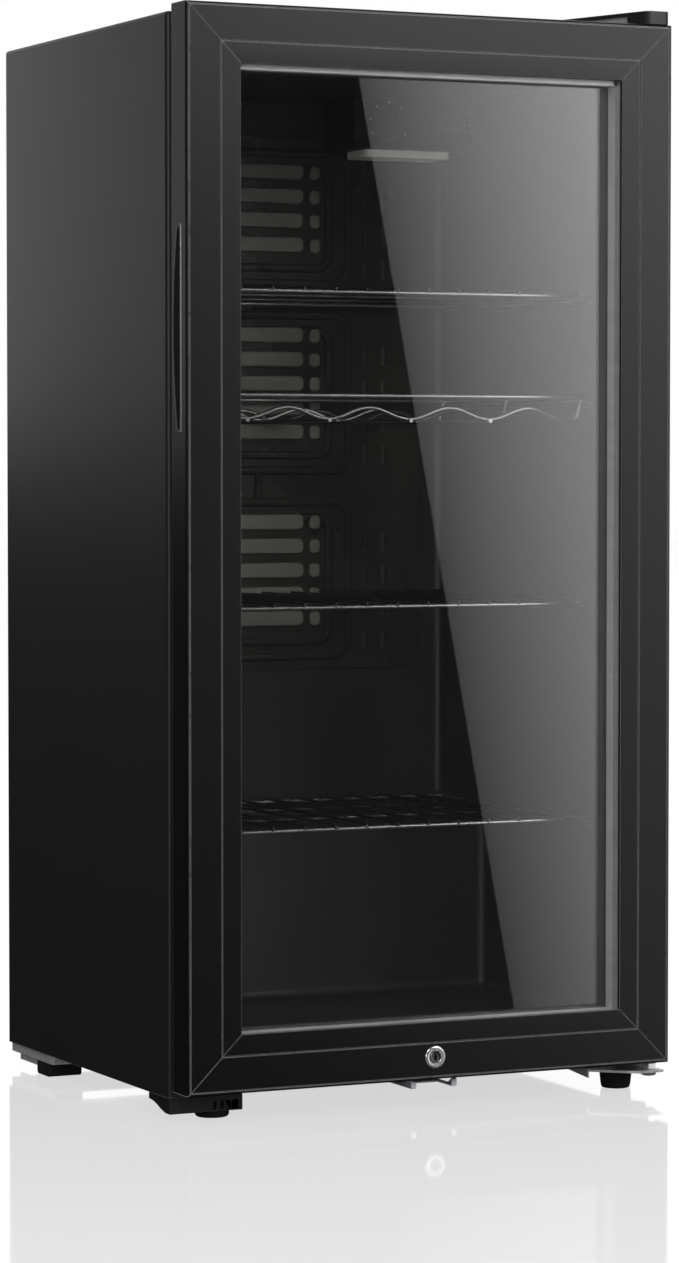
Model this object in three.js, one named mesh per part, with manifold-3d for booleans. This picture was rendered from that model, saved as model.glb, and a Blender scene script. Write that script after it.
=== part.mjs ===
// Under-counter beverage cooler with a hinged glass door.
// Millimetres. +Z up, the floor is Z = 0, the door faces -Y, +X is the hinge side.
// The origin is the centre of the footprint on the floor.
import * as THREE from "three";
import { mergeVertices } from "three/addons/utils/BufferGeometryUtils.js";
import Module from "manifold-3d";

const wasm = await Module();
wasm.setup();

// ---- driving dimensions -------------------------------------------------
const GAP = 0.3; // clearance between pieces that touch
const HALF_W = 225; // half of the overall width
const DOOR_FRONT = -201.5;
const DOOR_LOW = 26.5;
const DOOR_HIGH = 912.5;
const DOOR_T = 31; // depth of the frame extrusion
const FRAME_W = 48.5; // visible width of the door frame
const REBATE = 36.3; // the glass unit sits inboard of this
const GASKET_OUT = 12; // gasket inset from the door's edge
const GASKET_IN = 30;
const CAB_FRONT = -161;
const CAB_BACK = 203;
const CAB_LOW = 20;
const CAB_HIGH = 908;
const SHEET = 1; // steel sheet of the cabinet
const EDGE_R = 3.5; // rounding of the wrap's folded edges
const LINER = 1.5; // plastic sheet of the liner
const IN_X = 187; // half of the inner width
const IN_LOW = 63;
const IN_HIGH = 870;
const IN_BACK = 160;
const STEP_Y = 72; // inner step over the compressor bay
const STEP_Z = 215;
const BAY_Y = 100;
const BAY_TOP = 185;
const FOAM_BACK = 194;
const FLANGE_X = 197; // inner edge of the steel front flange
const FLANGE_LOW = 53;
const FLANGE_HIGH = 880;
const HINGE = [213.5, -186.5];
const PIN_R = 3.45;
const BUSH_BORE = 3.5;
const LOCK_Z = 45.5;
const HANDLE_Z = [566.7, 734.2];
const SHELF_Z = { top: 684.5, rack: 597.5, middle: 419.5, lower: 232.5 };
const SHELF_X = 183.5; // side wire centre
const SHELF_FRONT = -126.5;
const SHELF_REAR = 146;
const RIM_R = 2.5;
const WIRE_R = 1.8;
const WIRE_PITCH = 29;
const WAVE_PITCH = 76;
const WAVE_CREST = -24;
const WAVE_DROP = 14.6;
const WAVE_HEIGHT = 4.8;
const FOOT_LEFT = [-178, -143];
const FOOT_RIGHT = [201, -151];
const PIPE_Y = 198; // plane of the pipes behind the foam
const SUCTION_X = -140;
const CAPILLARY_X = -124;
const COIL = { left: -70, right: 190, low: 270, pitch: 80, passes: 7, returnX: -100 };
const PIPE_ENTRY_Z = 470;
const DRAIN = [40, 140];
const COMPRESSOR = [40, 151];

// ---- solids ---------------------------------------------------------------
function oriented(geometry) {
  const g = geometry.index ? geometry : mergeVertices(geometry);
  const p = g.attributes.position;
  const index = g.index.array;
  const a = new THREE.Vector3();
  const b = new THREE.Vector3();
  const c = new THREE.Vector3();
  let volume = 0;
  for (let i = 0; i < index.length; i += 3) {
    a.fromBufferAttribute(p, index[i]);
    b.fromBufferAttribute(p, index[i + 1]);
    c.fromBufferAttribute(p, index[i + 2]);
    volume += a.dot(b.cross(c));
  }
  if (volume < 0)
    for (let i = 0; i < index.length; i += 3) [index[i], index[i + 1]] = [index[i + 1], index[i]];
  return g;
}

function solid(geometry) {
  geometry.deleteAttribute("normal");
  geometry.deleteAttribute("uv");
  const g = oriented(mergeVertices(geometry, 1e-4));
  return new wasm.Manifold(
    new wasm.Mesh({
      numProp: 3,
      vertProperties: new Float32Array(g.attributes.position.array),
      triVerts: new Uint32Array(g.index.array),
    }),
  );
}

function surface(body) {
  const m = body.getMesh();
  const g = new THREE.BufferGeometry();
  g.setAttribute("position", new THREE.BufferAttribute(new Float32Array(m.vertProperties), 3));
  g.setIndex(new THREE.BufferAttribute(new Uint32Array(m.triVerts), 1));
  g.computeVertexNormals();
  return g;
}

const join = (...bodies) => bodies.flat().reduce((a, b) => a.add(b));
const cut = (body, ...tools) => tools.flat().reduce((a, b) => a.subtract(b), body);

function box(x, y, z) {
  const g = new THREE.BoxGeometry(x[1] - x[0], y[1] - y[0], z[1] - z[0]);
  g.translate((x[0] + x[1]) / 2, (y[0] + y[1]) / 2, (z[0] + z[1]) / 2);
  return solid(g);
}

// A polygon given in the two axes other than `axis`, in X, Y, Z order, and swept along it.
function prism(axis, points, from, to) {
  const g = new THREE.ExtrudeGeometry(new THREE.Shape(points.map((p) => new THREE.Vector2(...p))), {
    depth: to - from,
    bevelEnabled: false,
  });
  g.translate(0, 0, from);
  const frame = {
    X: [[0, 1, 0], [0, 0, 1], [1, 0, 0]],
    Y: [[1, 0, 0], [0, 0, 1], [0, 1, 0]],
    Z: [[1, 0, 0], [0, 1, 0], [0, 0, 1]],
  }[axis].map((v) => new THREE.Vector3(...v));
  g.applyMatrix4(new THREE.Matrix4().makeBasis(...frame));
  return solid(g);
}

// A cylinder or cone along an axis, from `at`, with a radius at each end.
function rod(axis, at, length, r, sides = 24, rEnd = r) {
  const g = new THREE.CylinderGeometry(rEnd, r, length, sides);
  g.translate(0, length / 2, 0);
  if (axis === "X") g.rotateZ(-Math.PI / 2);
  if (axis === "Z") g.rotateX(Math.PI / 2);
  g.translate(...at);
  return solid(g);
}

function lathe(profile, at, sides = 32, stretch = [1, 1]) {
  const g = new THREE.LatheGeometry(profile.map((p) => new THREE.Vector2(...p)), sides);
  g.rotateX(Math.PI / 2);
  g.scale(stretch[0], stretch[1], 1);
  g.translate(...at);
  return solid(g);
}

// A polyline read as a curve, so that a wire has a step at each of its points only.
class WirePath extends THREE.Curve {
  constructor(points) {
    super();
    this.points = points;
  }
  getPoint(t, target = new THREE.Vector3()) {
    const at = Math.min(Math.max(t, 0), 1) * (this.points.length - 1);
    const i = Math.min(Math.floor(at), this.points.length - 2);
    return target.lerpVectors(this.points[i], this.points[i + 1], at - i);
  }
  getUtoTmapping(u) {
    return u;
  }
}

function wire(points, r, sides = 8) {
  const path = points.map((p) => (p.isVector3 ? p : new THREE.Vector3(...p)));
  const section = [...Array(sides).keys()].map((k) => {
    const a = (2 * Math.PI * (k + 0.5)) / sides;
    return new THREE.Vector2(r * Math.cos(a), r * Math.sin(a));
  });
  return solid(
    new THREE.ExtrudeGeometry(new THREE.Shape(section), {
      steps: path.length - 1,
      bevelEnabled: false,
      extrudePath: new WirePath(path),
    }),
  );
}

// The same corners rounded to a bend radius.
function bent(corners, radius, steps = 4) {
  const p = corners.map((c) => new THREE.Vector3(...c));
  const out = [p[0]];
  for (let i = 1; i < p.length - 1; i++) {
    const before = p[i - 1].clone().sub(p[i]);
    const after = p[i + 1].clone().sub(p[i]);
    const reach = Math.min(radius, before.length() / 2.01, after.length() / 2.01);
    const start = p[i].clone().addScaledVector(before.normalize(), reach);
    const end = p[i].clone().addScaledVector(after.normalize(), reach);
    const curve = new THREE.QuadraticBezierCurve3(start, p[i], end);
    out.push(...curve.getPoints(steps));
  }
  out.push(p[p.length - 1]);
  return out;
}

// A rectangle with chosen corners rounded: "ll", "rl", "rh", "lh" (left/right, low/high).
function roundedRect(u, v, r, corners, steps = 3) {
  const spots = [
    ["ll", u[0], v[0], 180],
    ["rl", u[1], v[0], 270],
    ["rh", u[1], v[1], 0],
    ["lh", u[0], v[1], 90],
  ];
  const points = [];
  for (const [name, x, y, start] of spots) {
    if (!corners.includes(name)) {
      points.push([x, y]);
      continue;
    }
    const cx = x + (x === u[0] ? r : -r);
    const cy = y + (y === v[0] ? r : -r);
    for (let k = 0; k <= steps; k++) {
      const a = ((start + (90 * k) / steps) * Math.PI) / 180;
      points.push([cx + r * Math.cos(a), cy + r * Math.sin(a)]);
    }
  }
  return points;
}

const ALL_CORNERS = ["ll", "rl", "rh", "lh"];
const mirrored = (body) => body.mirror([1, 0, 0]);

// ---- cabinet ------------------------------------------------------------------
// The outside of the steel wrap, or its inside when inset by the sheet's thickness.
function wrapVolume(inset) {
  const x = [-HALF_W + inset, HALF_W - inset];
  const y = [CAB_FRONT + inset, CAB_BACK + inset];
  const z = [CAB_LOW - inset, CAB_HIGH - inset];
  const edge = EDGE_R - inset;
  return prism("Y", roundedRect(x, z, edge, ["rh", "lh"]), ...y)
    .intersect(prism("Z", roundedRect(x, y, edge, ["ll", "rl"]), ...z))
    .intersect(prism("X", roundedRect(y, z, edge, ["lh"]), ...x));
}

const cabinetShell = () =>
  cut(wrapVolume(0), wrapVolume(SHEET), box([-FLANGE_X, FLANGE_X], [CAB_FRONT - 1, CAB_FRONT + 2], [CAB_LOW - 1, FLANGE_HIGH]));

function backPanel() {
  const x = HALF_W - SHEET - GAP;
  const z = [BAY_TOP + SHEET + 0.5, CAB_HIGH - SHEET - GAP];
  return prism("Y", roundedRect([-x, x], z, EDGE_R, ["rh", "lh"]), CAB_BACK - SHEET, CAB_BACK);
}

function floorPanel() {
  const x = HALF_W - SHEET - GAP;
  const lip = FLANGE_X - GAP;
  const bentSheet = join(
    box([-x, x], [CAB_FRONT + SHEET, BAY_Y], [CAB_LOW, CAB_LOW + SHEET]),
    box([-x, x], [BAY_Y - SHEET, BAY_Y], [CAB_LOW, BAY_TOP + SHEET]),
    box([-x, x], [BAY_Y - SHEET, CAB_BACK - SHEET - GAP], [BAY_TOP, BAY_TOP + SHEET]),
  ).intersect(wrapVolume(SHEET + GAP));
  const panel = join(
    bentSheet,
    box([-lip, lip], [CAB_FRONT, CAB_FRONT + 2], [CAB_LOW, CAB_LOW + SHEET]),
    box([-lip, lip], [CAB_FRONT, CAB_FRONT + SHEET], [CAB_LOW, FLANGE_LOW]),
  );
  const pipe = (px, py, r) => rod("Z", [px, py, BAY_TOP - 1], 4, r, 10);
  const stem = ([px, py]) => rod("Z", [px, py, CAB_LOW - 1], 4, 4.8, 12);
  return cut(
    panel,
    pipe(SUCTION_X, PIPE_Y, 3.6),
    pipe(CAPILLARY_X, PIPE_Y, 3),
    pipe(COIL.returnX, PIPE_Y, 3.4),
    pipe(COIL.right, PIPE_Y, 3.4),
    pipe(...DRAIN, 7),
    stem(FOOT_LEFT),
    stem(FOOT_RIGHT),
  );
}

function linerOutline(t) {
  return [
    [CAB_FRONT - 1, IN_LOW - t],
    [STEP_Y + t, IN_LOW - t],
    [STEP_Y + t, STEP_Z - t],
    [IN_BACK + t, STEP_Z - t],
    [IN_BACK + t, IN_HIGH + t],
    [CAB_FRONT - 1, IN_HIGH + t],
  ];
}

function innerLiner() {
  const x = IN_X + LINER;
  const flange = FLANGE_X - GAP;
  const tub = prism("X", linerOutline(LINER), -x, x).subtract(
    box([-IN_X - 9, IN_X + 9], [CAB_FRONT - 9, CAB_FRONT], [0, CAB_HIGH]),
  );
  const body = cut(
    tub.add(box([-flange, flange], [CAB_FRONT, CAB_FRONT + LINER], [FLANGE_LOW + GAP, FLANGE_HIGH - GAP])),
    prism("X", linerOutline(0), -IN_X, IN_X),
    rod("Z", [...DRAIN, STEP_Z - 3], 6, 5, 16),
    rod("Y", [SUCTION_X, IN_BACK - 2, PIPE_ENTRY_Z], 6, 3.6, 16),
    rod("Y", [CAPILLARY_X, IN_BACK - 2, PIPE_ENTRY_Z], 6, 2, 12),
  );
  const ledges = Object.values(SHELF_Z).map((z) =>
    box([IN_X - 5.5, IN_X + 0.5], [-130, 150], [z - RIM_R - 4.5, z - RIM_R - GAP]),
  );
  return join(body, ledges, ledges.map(mirrored));
}

function foamInsulation() {
  const x = HALF_W - SHEET - GAP;
  const low = CAB_LOW + SHEET + GAP;
  const front = CAB_FRONT + LINER + GAP;
  const block = prism(
    "X",
    [
      [front, low],
      [BAY_Y - SHEET - GAP, low],
      [BAY_Y - SHEET - GAP, BAY_TOP + SHEET + GAP],
      [FOAM_BACK, BAY_TOP + SHEET + GAP],
      [FOAM_BACK, CAB_HIGH - SHEET - GAP],
      [front, CAB_HIGH - SHEET - GAP],
    ],
    -x,
    x,
  );
  const hollow = prism("X", linerOutline(LINER + GAP), -IN_X - LINER - GAP, IN_X + LINER + GAP);
  const stem = ([px, py]) => rod("Z", [px, py, CAB_LOW - 1], 20, 6, 12);
  return cut(
    block.intersect(wrapVolume(SHEET + GAP)),
    hollow,
    stem(FOOT_LEFT),
    stem(FOOT_RIGHT),
    rod("Z", [...DRAIN, BAY_TOP - 5], 40, 7, 16),
    rod("Y", [SUCTION_X, IN_BACK - 2, PIPE_ENTRY_Z], 40, 5, 12),
    rod("Y", [CAPILLARY_X, IN_BACK - 2, PIPE_ENTRY_Z], 40, 3, 12),
    box([SUCTION_X - 5, CAPILLARY_X + 3], [FOAM_BACK - 14, FOAM_BACK + 1], [PIPE_ENTRY_Z - 20, PIPE_ENTRY_Z + 5]),
  );
}

// ---- cold circuit ----------------------------------------------------------------
function evaporatorPlate() {
  const plate = box([-165, 165], [157.5, 159.2], [352, 836]);
  const passes = [];
  for (let k = 0; k < 9; k++) {
    const z = 424 + 48 * k;
    const [a, b] = k % 2 ? [140, -140] : [-140, 140];
    passes.push([a, 155.2, z], [b, 155.2, z]);
  }
  return plate.add(wire(bent(passes, 20, 2), 4.6, 4));
}

function condenserCoil() {
  const { left, right, low, pitch, passes, returnX } = COIL;
  const path = [[right, PIPE_Y, 174], [right, PIPE_Y, low]];
  for (let k = 0; k < passes; k++) {
    const z = low + pitch * k;
    if (k) path.push([k % 2 ? left : right, PIPE_Y, z]);
    path.push([k % 2 ? right : left, PIPE_Y, z]);
  }
  path.push([returnX, PIPE_Y, low + pitch * (passes - 1)], [returnX, PIPE_Y, 160], [returnX, 180, 150], [returnX, 180, 135.6]);
  return wire(bent(path, 24, 3), 2.5, 6);
}

function suctionPipe() {
  const path = [
    [-18.4, 151, 115],
    [SUCTION_X, 151, 115],
    [SUCTION_X, PIPE_Y, 115],
    [SUCTION_X, PIPE_Y, PIPE_ENTRY_Z],
    [SUCTION_X, 159.6, PIPE_ENTRY_Z],
  ];
  return wire(bent(path, 14, 4), 3);
}

function dischargePipe() {
  const path = [
    [98.4, 151, 115],
    [COIL.right, 151, 115],
    [COIL.right, PIPE_Y, 115],
    [COIL.right, PIPE_Y, 173.6],
  ];
  return wire(bent(path, 14, 4), 2.5);
}

function capillaryTube() {
  const path = [
    [COIL.returnX, 180, 59.6],
    [COIL.returnX, 180, 44],
    [CAPILLARY_X, 180, 44],
    [CAPILLARY_X, PIPE_Y, 60],
    [CAPILLARY_X, PIPE_Y, PIPE_ENTRY_Z],
    [CAPILLARY_X, 159.6, PIPE_ENTRY_Z],
  ];
  return wire(bent(path, 9, 3), 1.2, 6);
}

const filterDrier = () =>
  lathe([[0, 60], [3, 60], [9, 70], [9, 125], [3, 135], [0, 135]], [COIL.returnX, 180, 0], 20);

function compressorShell() {
  const [x, y] = COMPRESSOR;
  const can = lathe(
    [[0, 33], [34, 33], [43, 40], [46, 52], [46, 84], [48.2, 84], [48.2, 88], [46, 88], [46, 112], [42, 130], [30, 143], [12, 149], [0, 150]],
    [0, 0, 0],
    22,
    [1.25, 1],
  ).translate([x, y, 0]);
  const rail = (dy) => box([x - 76, x + 76], [y + dy - 7, y + dy + 7], [30.3, 36]);
  return join(can, rail(-31), rail(31));
}

const GROMMETS = [[-29, 120], [109, 120], [-29, 182], [109, 182]];
const grommet = ([x, y]) => lathe([[0, 13.8], [9, 13.8], [9, 19], [7, 21], [7, 24], [9, 26], [9, 30], [0, 30]], [x, y, 0], 12);

const relayCover = () => prism("Z", roundedRect([101.5, 124], [130, 172], 5, ["rl", "rh"]), 46, 90);

function drainTube() {
  const from = 174;
  const length = STEP_Z - 1.8 - from;
  return rod("Z", [...DRAIN, from], length, 6, 20).subtract(rod("Z", [...DRAIN, from - 1], length + 2, 4.5, 20));
}

function evaporatingTray() {
  const [x, y] = COMPRESSOR;
  return cut(
    prism("Z", roundedRect([x - 58, x + 58], [y - 44, y + 44], 8, ALL_CORNERS), 150.4, 171),
    prism("Z", roundedRect([x - 56.4, x + 56.4], [y - 42.4, y + 42.4], 6.4, ALL_CORNERS), 152, 172),
  );
}

function compressorPlate() {
  const side = (s) => [
    box(s > 0 ? [221.5, 223] : [-223, -221.5], [101, 201], [12, 38]),
    box(s > 0 ? [219, 220.5] : [-220.5, -219], [141, 187], [6, 13]),
  ];
  return join(box([-223, 223], [101, 201], [12, 13.5]), side(1), side(-1));
}

function powerInlet() {
  const socket = box([-205, -165], [176, 200], [13.8, 66]);
  const recess = prism("Y", roundedRect([-198, -172], [38, 56], 3, ["rh", "lh"]), 186, 201);
  const pins = [[-192, 44], [-185, 50], [-178, 44]].map(([x, z]) => box([x - 1, x + 1], [180, 197], [z - 2, z + 2]));
  return join(socket.subtract(recess), pins);
}

// ---- control box -------------------------------------------------------------------
const CONTROL = { x: [66, 184], y: [92, 155], z: [824, 869.6] };
const DIAL = [100, 847];
const SWITCH = [152, 847];

function controlBox() {
  const body = prism("X", [
    [CONTROL.y[0] + 6, CONTROL.z[0]],
    [CONTROL.y[1], CONTROL.z[0]],
    [CONTROL.y[1], CONTROL.z[1]],
    [CONTROL.y[0], CONTROL.z[1]],
    [CONTROL.y[0], CONTROL.z[0] + 6],
  ], ...CONTROL.x);
  return cut(
    body,
    rod("Y", [DIAL[0], CONTROL.y[0] - 1, DIAL[1]], 12, 3.05, 24),
    box([SWITCH[0] - 12, SWITCH[0] + 12], [CONTROL.y[0] - 1, CONTROL.y[0] + 7], [SWITCH[1] - 8, SWITCH[1] + 8]),
  );
}

function thermostatDial() {
  const [x, z] = DIAL;
  const front = CONTROL.y[0];
  const disc = rod("Y", [x, front - 11, z], 10.7, 15, 28, 16);
  const grip = box([x - 2.5, x + 2.5], [front - 16, front - 10], [z - 14, z + 14]);
  return join(disc, grip, rod("Y", [x, front - 1, z], 9, 2.97, 24));
}

function lampSwitch() {
  const [x, z] = SWITCH;
  return prism("X", [[-4.4, -6.4], [-3.2, 0], [-4.4, 6.4], [-0.6, 6.4], [1.6, 0], [-0.6, -6.4]], x - 11, x + 11)
    .rotate([-7, 0, 0])
    .translate([0, CONTROL.y[0] + 3.6, z]);
}

const lampLens = () =>
  prism("Z", roundedRect([82, 168], [102, 146], 6, ALL_CORNERS), 817, CONTROL.z[0] - GAP);

// ---- shelves ----------------------------------------------------------------------------
function shelfRim(z) {
  const long = (y) => rod("X", [-SHELF_X - 1.8, y, z], 2 * SHELF_X + 3.6, RIM_R, 6);
  const deep = (x) => rod("Y", [x, SHELF_FRONT - 1.8, z], SHELF_REAR - SHELF_FRONT + 3.6, RIM_R, 6);
  return [long(SHELF_FRONT), long(SHELF_REAR), deep(-SHELF_X), deep(SHELF_X)];
}

function wireShelf(z) {
  const over = z + RIM_R + WIRE_R - 0.7;
  const face = SHELF_FRONT - RIM_R - WIRE_R + 0.7;
  const count = Math.floor((2 * SHELF_X - 20) / WIRE_PITCH);
  const first = (-count * WIRE_PITCH) / 2;
  const parts = shelfRim(z);
  for (let k = 0; k <= count; k++) {
    const x = first + k * WIRE_PITCH;
    parts.push(wire([[x, SHELF_REAR + 1.5, over], [x, face, over], [x, face, z - 11.5]], WIRE_R, 4));
  }
  parts.push(rod("X", [first - 4, SHELF_FRONT - RIM_R + 0.4, z - 9.5], count * WIRE_PITCH + 8, 2, 6));
  parts.push(rod("X", [-SHELF_X, 10, z + 0.4], 2 * SHELF_X, 2, 6));
  return join(parts);
}

// Crests at WAVE_CREST and every pitch from it; a bottle lies in each trough.
function waveWire(y, z) {
  const end = SHELF_X - 7.5;
  const steps = 26;
  const points = [[-SHELF_X, y, z], [-end - 3, y, z - 1.5]];
  for (let k = 0; k <= steps; k++) {
    const x = -end + (2 * end * k) / steps;
    points.push([x, y, z - WAVE_DROP + WAVE_HEIGHT * Math.cos((2 * Math.PI * (x - WAVE_CREST)) / WAVE_PITCH)]);
  }
  points.push([end + 3, y, z - 1.5], [SHELF_X, y, z]);
  return wire(points, 2.2, 4);
}

function wineRack(z) {
  const parts = shelfRim(z);
  for (const y of [SHELF_FRONT + 5, 16, SHELF_REAR - 6]) parts.push(waveWire(y, z));
  for (const k of [-1.5, -0.5, 0.5, 1.5])
    parts.push(rod("Y", [WAVE_CREST + k * WAVE_PITCH, SHELF_FRONT + 1, z - WAVE_DROP - WAVE_HEIGHT - 1.4], SHELF_REAR - SHELF_FRONT - 3, 2, 4));
  return join(parts);
}

// ---- door ----------------------------------------------------------------------------------
// The frame section: distance in from the door's edge, and depth behind its front face.
const FRAME_SECTION = [
  [0, 1.4], [1.2, 0], [2.2, 0], [2.2, 0.9], [3, 0.9], [3, 0],
  [30.2, 0], [30.2, 1.2], [31.6, 1.2], [31.6, 0.4], [FRAME_W, 0.4], [FRAME_W, 4],
  [REBATE, 4], [REBATE, DOOR_T], [0, DOOR_T],
];

// A length of that section with both ends mitred, laid along one side of the door.
function frameMember(side) {
  const g = new THREE.ExtrudeGeometry(new THREE.Shape(FRAME_SECTION.map((p) => new THREE.Vector2(...p))), {
    depth: 1,
    bevelEnabled: false,
  });
  const upright = side === "left" || side === "right";
  const low = upright ? DOOR_LOW : -HALF_W;
  const high = upright ? DOOR_HIGH : HALF_W;
  const p = g.attributes.position;
  for (let i = 0; i < p.count; i++) {
    const u = p.getX(i);
    const y = DOOR_FRONT + p.getY(i);
    const along = p.getZ(i) > 0.5 ? high - u - GAP / 2 : low + u + GAP / 2;
    if (side === "left") p.setXYZ(i, -HALF_W + u, y, along);
    if (side === "right") p.setXYZ(i, HALF_W - u, y, along);
    if (side === "bottom") p.setXYZ(i, along, y, DOOR_LOW + u);
    if (side === "top") p.setXYZ(i, along, y, DOOR_HIGH - u);
  }
  return solid(g);
}

const HANDLE_MID = (HANDLE_Z[0] + HANDLE_Z[1]) / 2;
function fingerOutline(shrink) {
  const half = (HANDLE_Z[1] - HANDLE_Z[0]) / 2 - 1 - shrink * 3;
  const front = -187.6 + shrink;
  const points = [[front, HANDLE_MID - half]];
  for (let k = 0; k <= 12; k++) {
    const s = -1 + (2 * k) / 12;
    points.push([-182 + 8.4 * (1 - s * s) - shrink, HANDLE_MID + half * s]);
  }
  points.push([front, HANDLE_MID + half]);
  return points;
}

function doorStileLeft() {
  const room = box([-HALF_W - 1, -HALF_W + 10.4], [-191.1, -187.8], [HANDLE_Z[0] - GAP, HANDLE_Z[1] + GAP]);
  return cut(frameMember("left"), prism("X", fingerOutline(-GAP), -HALF_W - 1, -HALF_W + 19.6), room);
}

function handleCup() {
  return cut(
    prism("X", fingerOutline(0), -HALF_W, -HALF_W + 19.2),
    prism("X", fingerOutline(1.5), -HALF_W - 1, -HALF_W + 17.7),
    box([-HALF_W - 1, -HALF_W + 10.4], [-192, -187.5], [HANDLE_Z[0] - 1, HANDLE_Z[1] + 1]),
  );
}

const handleTrim = () => box([-HALF_W, -HALF_W + 10], [-190.8, -188.1], HANDLE_Z);

const bushHole = (z0, z1) => rod("Z", [...HINGE, z0], z1 - z0, 5.3, 24);
const doorStileRight = () =>
  cut(frameMember("right"), bushHole(DOOR_LOW - 1, DOOR_LOW + 14.3), bushHole(DOOR_HIGH - 14.3, DOOR_HIGH + 1));
const doorRailTop = () => cut(frameMember("top"), bushHole(DOOR_HIGH - 14.3, DOOR_HIGH + 1));

function doorRailBottom() {
  return cut(
    frameMember("bottom"),
    bushHole(DOOR_LOW - 1, DOOR_LOW + 14.3),
    rod("Y", [0, DOOR_FRONT - 1, LOCK_Z], 14, 8, 28),
    box([-7.6, 27], [-189.8, -183.6], [DOOR_LOW - 1, LOCK_Z + 7.6]),
  );
}

function ring(out, inner, y0, y1) {
  const rect = (u) => [[-HALF_W + u, HALF_W - u], [y0, y1], [DOOR_LOW + u, DOOR_HIGH - u]];
  const hole = rect(inner);
  return box(...rect(out)).subtract(box(hole[0], [y0 - 1, y1 + 1], hole[2]));
}

const atDepth = (t) => DOOR_FRONT + t;
const pane = (t) =>
  box([-HALF_W + 37, HALF_W - 37], [atDepth(t), atDepth(t + 4)], [DOOR_LOW + 37, DOOR_HIGH - 37]);
const glassSpacer = () => ring(37.3, FRAME_W, atDepth(8.6), atDepth(20.6));
const doorInnerFrame = () =>
  ring(REBATE + 0.6, FRAME_W, atDepth(25.2), atDepth(32)).add(ring(3, FRAME_W, atDepth(DOOR_T + GAP), atDepth(35.8)));
const doorGasket = () =>
  ring(GASKET_OUT, GASKET_IN, atDepth(36.1), CAB_FRONT - GAP).subtract(
    ring(GASKET_OUT - 2, GASKET_OUT + 1.6, atDepth(37.4), CAB_FRONT - GAP - 1.4),
  );

function hingeBush(z) {
  return rod("Z", [...HINGE, z], 13.6, 5, 24).subtract(rod("Z", [...HINGE, z - 1], 16, BUSH_BORE, 24));
}

// ---- lock -------------------------------------------------------------------------------------
function lockBarrel() {
  const ringFront = -CAB_BACK;
  return cut(
    join(
      rod("Y", [0, ringFront, LOCK_Z], 1.2, 8.6, 32, 9.5),
      rod("Y", [0, ringFront + 1, LOCK_Z], 12, 7.6, 28),
    ),
    rod("Y", [0, ringFront - 1, LOCK_Z], 16, 5.06, 28),
  );
}

function lockPlug() {
  const cam = prism("Y", [[-5, -5], [21, -4], [24.7, -1], [24.7, 4], [-5, 5]], -188.2, -185.2).translate([0, 0, LOCK_Z]);
  const plug = rod("Y", [0, -202.7, LOCK_Z], 15.5, 4.96, 28);
  return plug.add(cam).subtract(box([-0.7, 0.7], [-204, -198.5], [LOCK_Z - 3.4, LOCK_Z + 3.4]));
}

function lockStrike() {
  const x = [-18, 25];
  const plate = box(x, [-192.4, -120], [18.3, 19.7]);
  const lip = box(x, [-192.4, -191], [18.3, 24]);
  const ear = (a) => prism("X", [[-192.4, 18.5], [-192.4, 25], [-186, 25], [-176, 18.5]], a, a + 1.4);
  return join(plate, lip, ear(x[0]), ear(x[1] - 1.4));
}

// ---- hinges ---------------------------------------------------------------------------------------
const LOWER_SCREWS = [[177, -118], [212, -118]];
function lowerHingeBracket() {
  const z = [17.7, 19.7];
  const plate = prism("Z", [[164, -105], [164, -168], [199, -197], [222.5, -197], [222.5, -105]], ...z);
  const ear = (x) => prism("X", [[-168, 12.4], [-168, 19.7], [-108, 19.7], [-108, 17.2]], x, x + 1.5);
  return cut(
    join(plate, ear(164), ear(221)),
    rod("Z", [...HINGE, 16], 6, 3.56, 24),
    rod("Z", [...FOOT_RIGHT, 16], 6, 4.8, 20),
    LOWER_SCREWS.map(([x, y]) => rod("Z", [x, y, 16], 6, 2.4, 16)),
  );
}

const lowerHingePin = () => rod("Z", [...HINGE, 14.2], 3.2, 6.5, 24).add(rod("Z", [...HINGE, 17], 21.5, PIN_R, 24));
const lowerHingeNut = () => rod("Z", [...HINGE, 20], 5.4, 7, 6).subtract(rod("Z", [...HINGE, 19], 8, 3.56, 24));
const lowerHingeScrew = ([x, y]) => rod("Z", [x, y, 14.8], 2.6, 4.2, 16).add(rod("Z", [x, y, 17], 2.6, 2.1, 16));

const TOP_PLAN = [[176, -90], [176, -108], [197.6, -175.5], [203, -178.5], [203, -196.6], [218.6, -196.6], [220.5, -194], [220.5, -90]];
const TOP_SCREWS = [[190, -100], [208, -124]];
function topHingeBracket() {
  const sheet = prism("X", [
    [-90, 908.3], [-157, 908.3], [-161.5, 913.6], [-199, 913.6], [-199, 915.4], [-160.4, 915.4], [-156, 910.1], [-90, 910.1],
  ], 172, 223).intersect(prism("Z", TOP_PLAN, 900, 930));
  const web = prism("Z", [[176, -108], [197.3, -174.6], [198.8, -174.2], [177.6, -107.6]], 908.3, 921.3).subtract(
    box([170, 230], [-200, -160], [900, 913.6]),
  );
  return cut(
    join(sheet, web),
    rod("Z", [...HINGE, 912], 6, 3.56, 24),
    TOP_SCREWS.map(([x, y]) => rod("Z", [x, y, 907], 6, 2.4, 16)),
  );
}

const topHingePin = () => rod("Z", [...HINGE, 900.5], 17, PIN_R, 24).add(rod("Z", [...HINGE, 915.7], 2.6, 6, 24));
const topHingeScrew = ([x, y]) => rod("Z", [x, y, 910.4], 2.6, 4.2, 16).add(rod("Z", [x, y, 908.5], 2, 2.1, 16));

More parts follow.
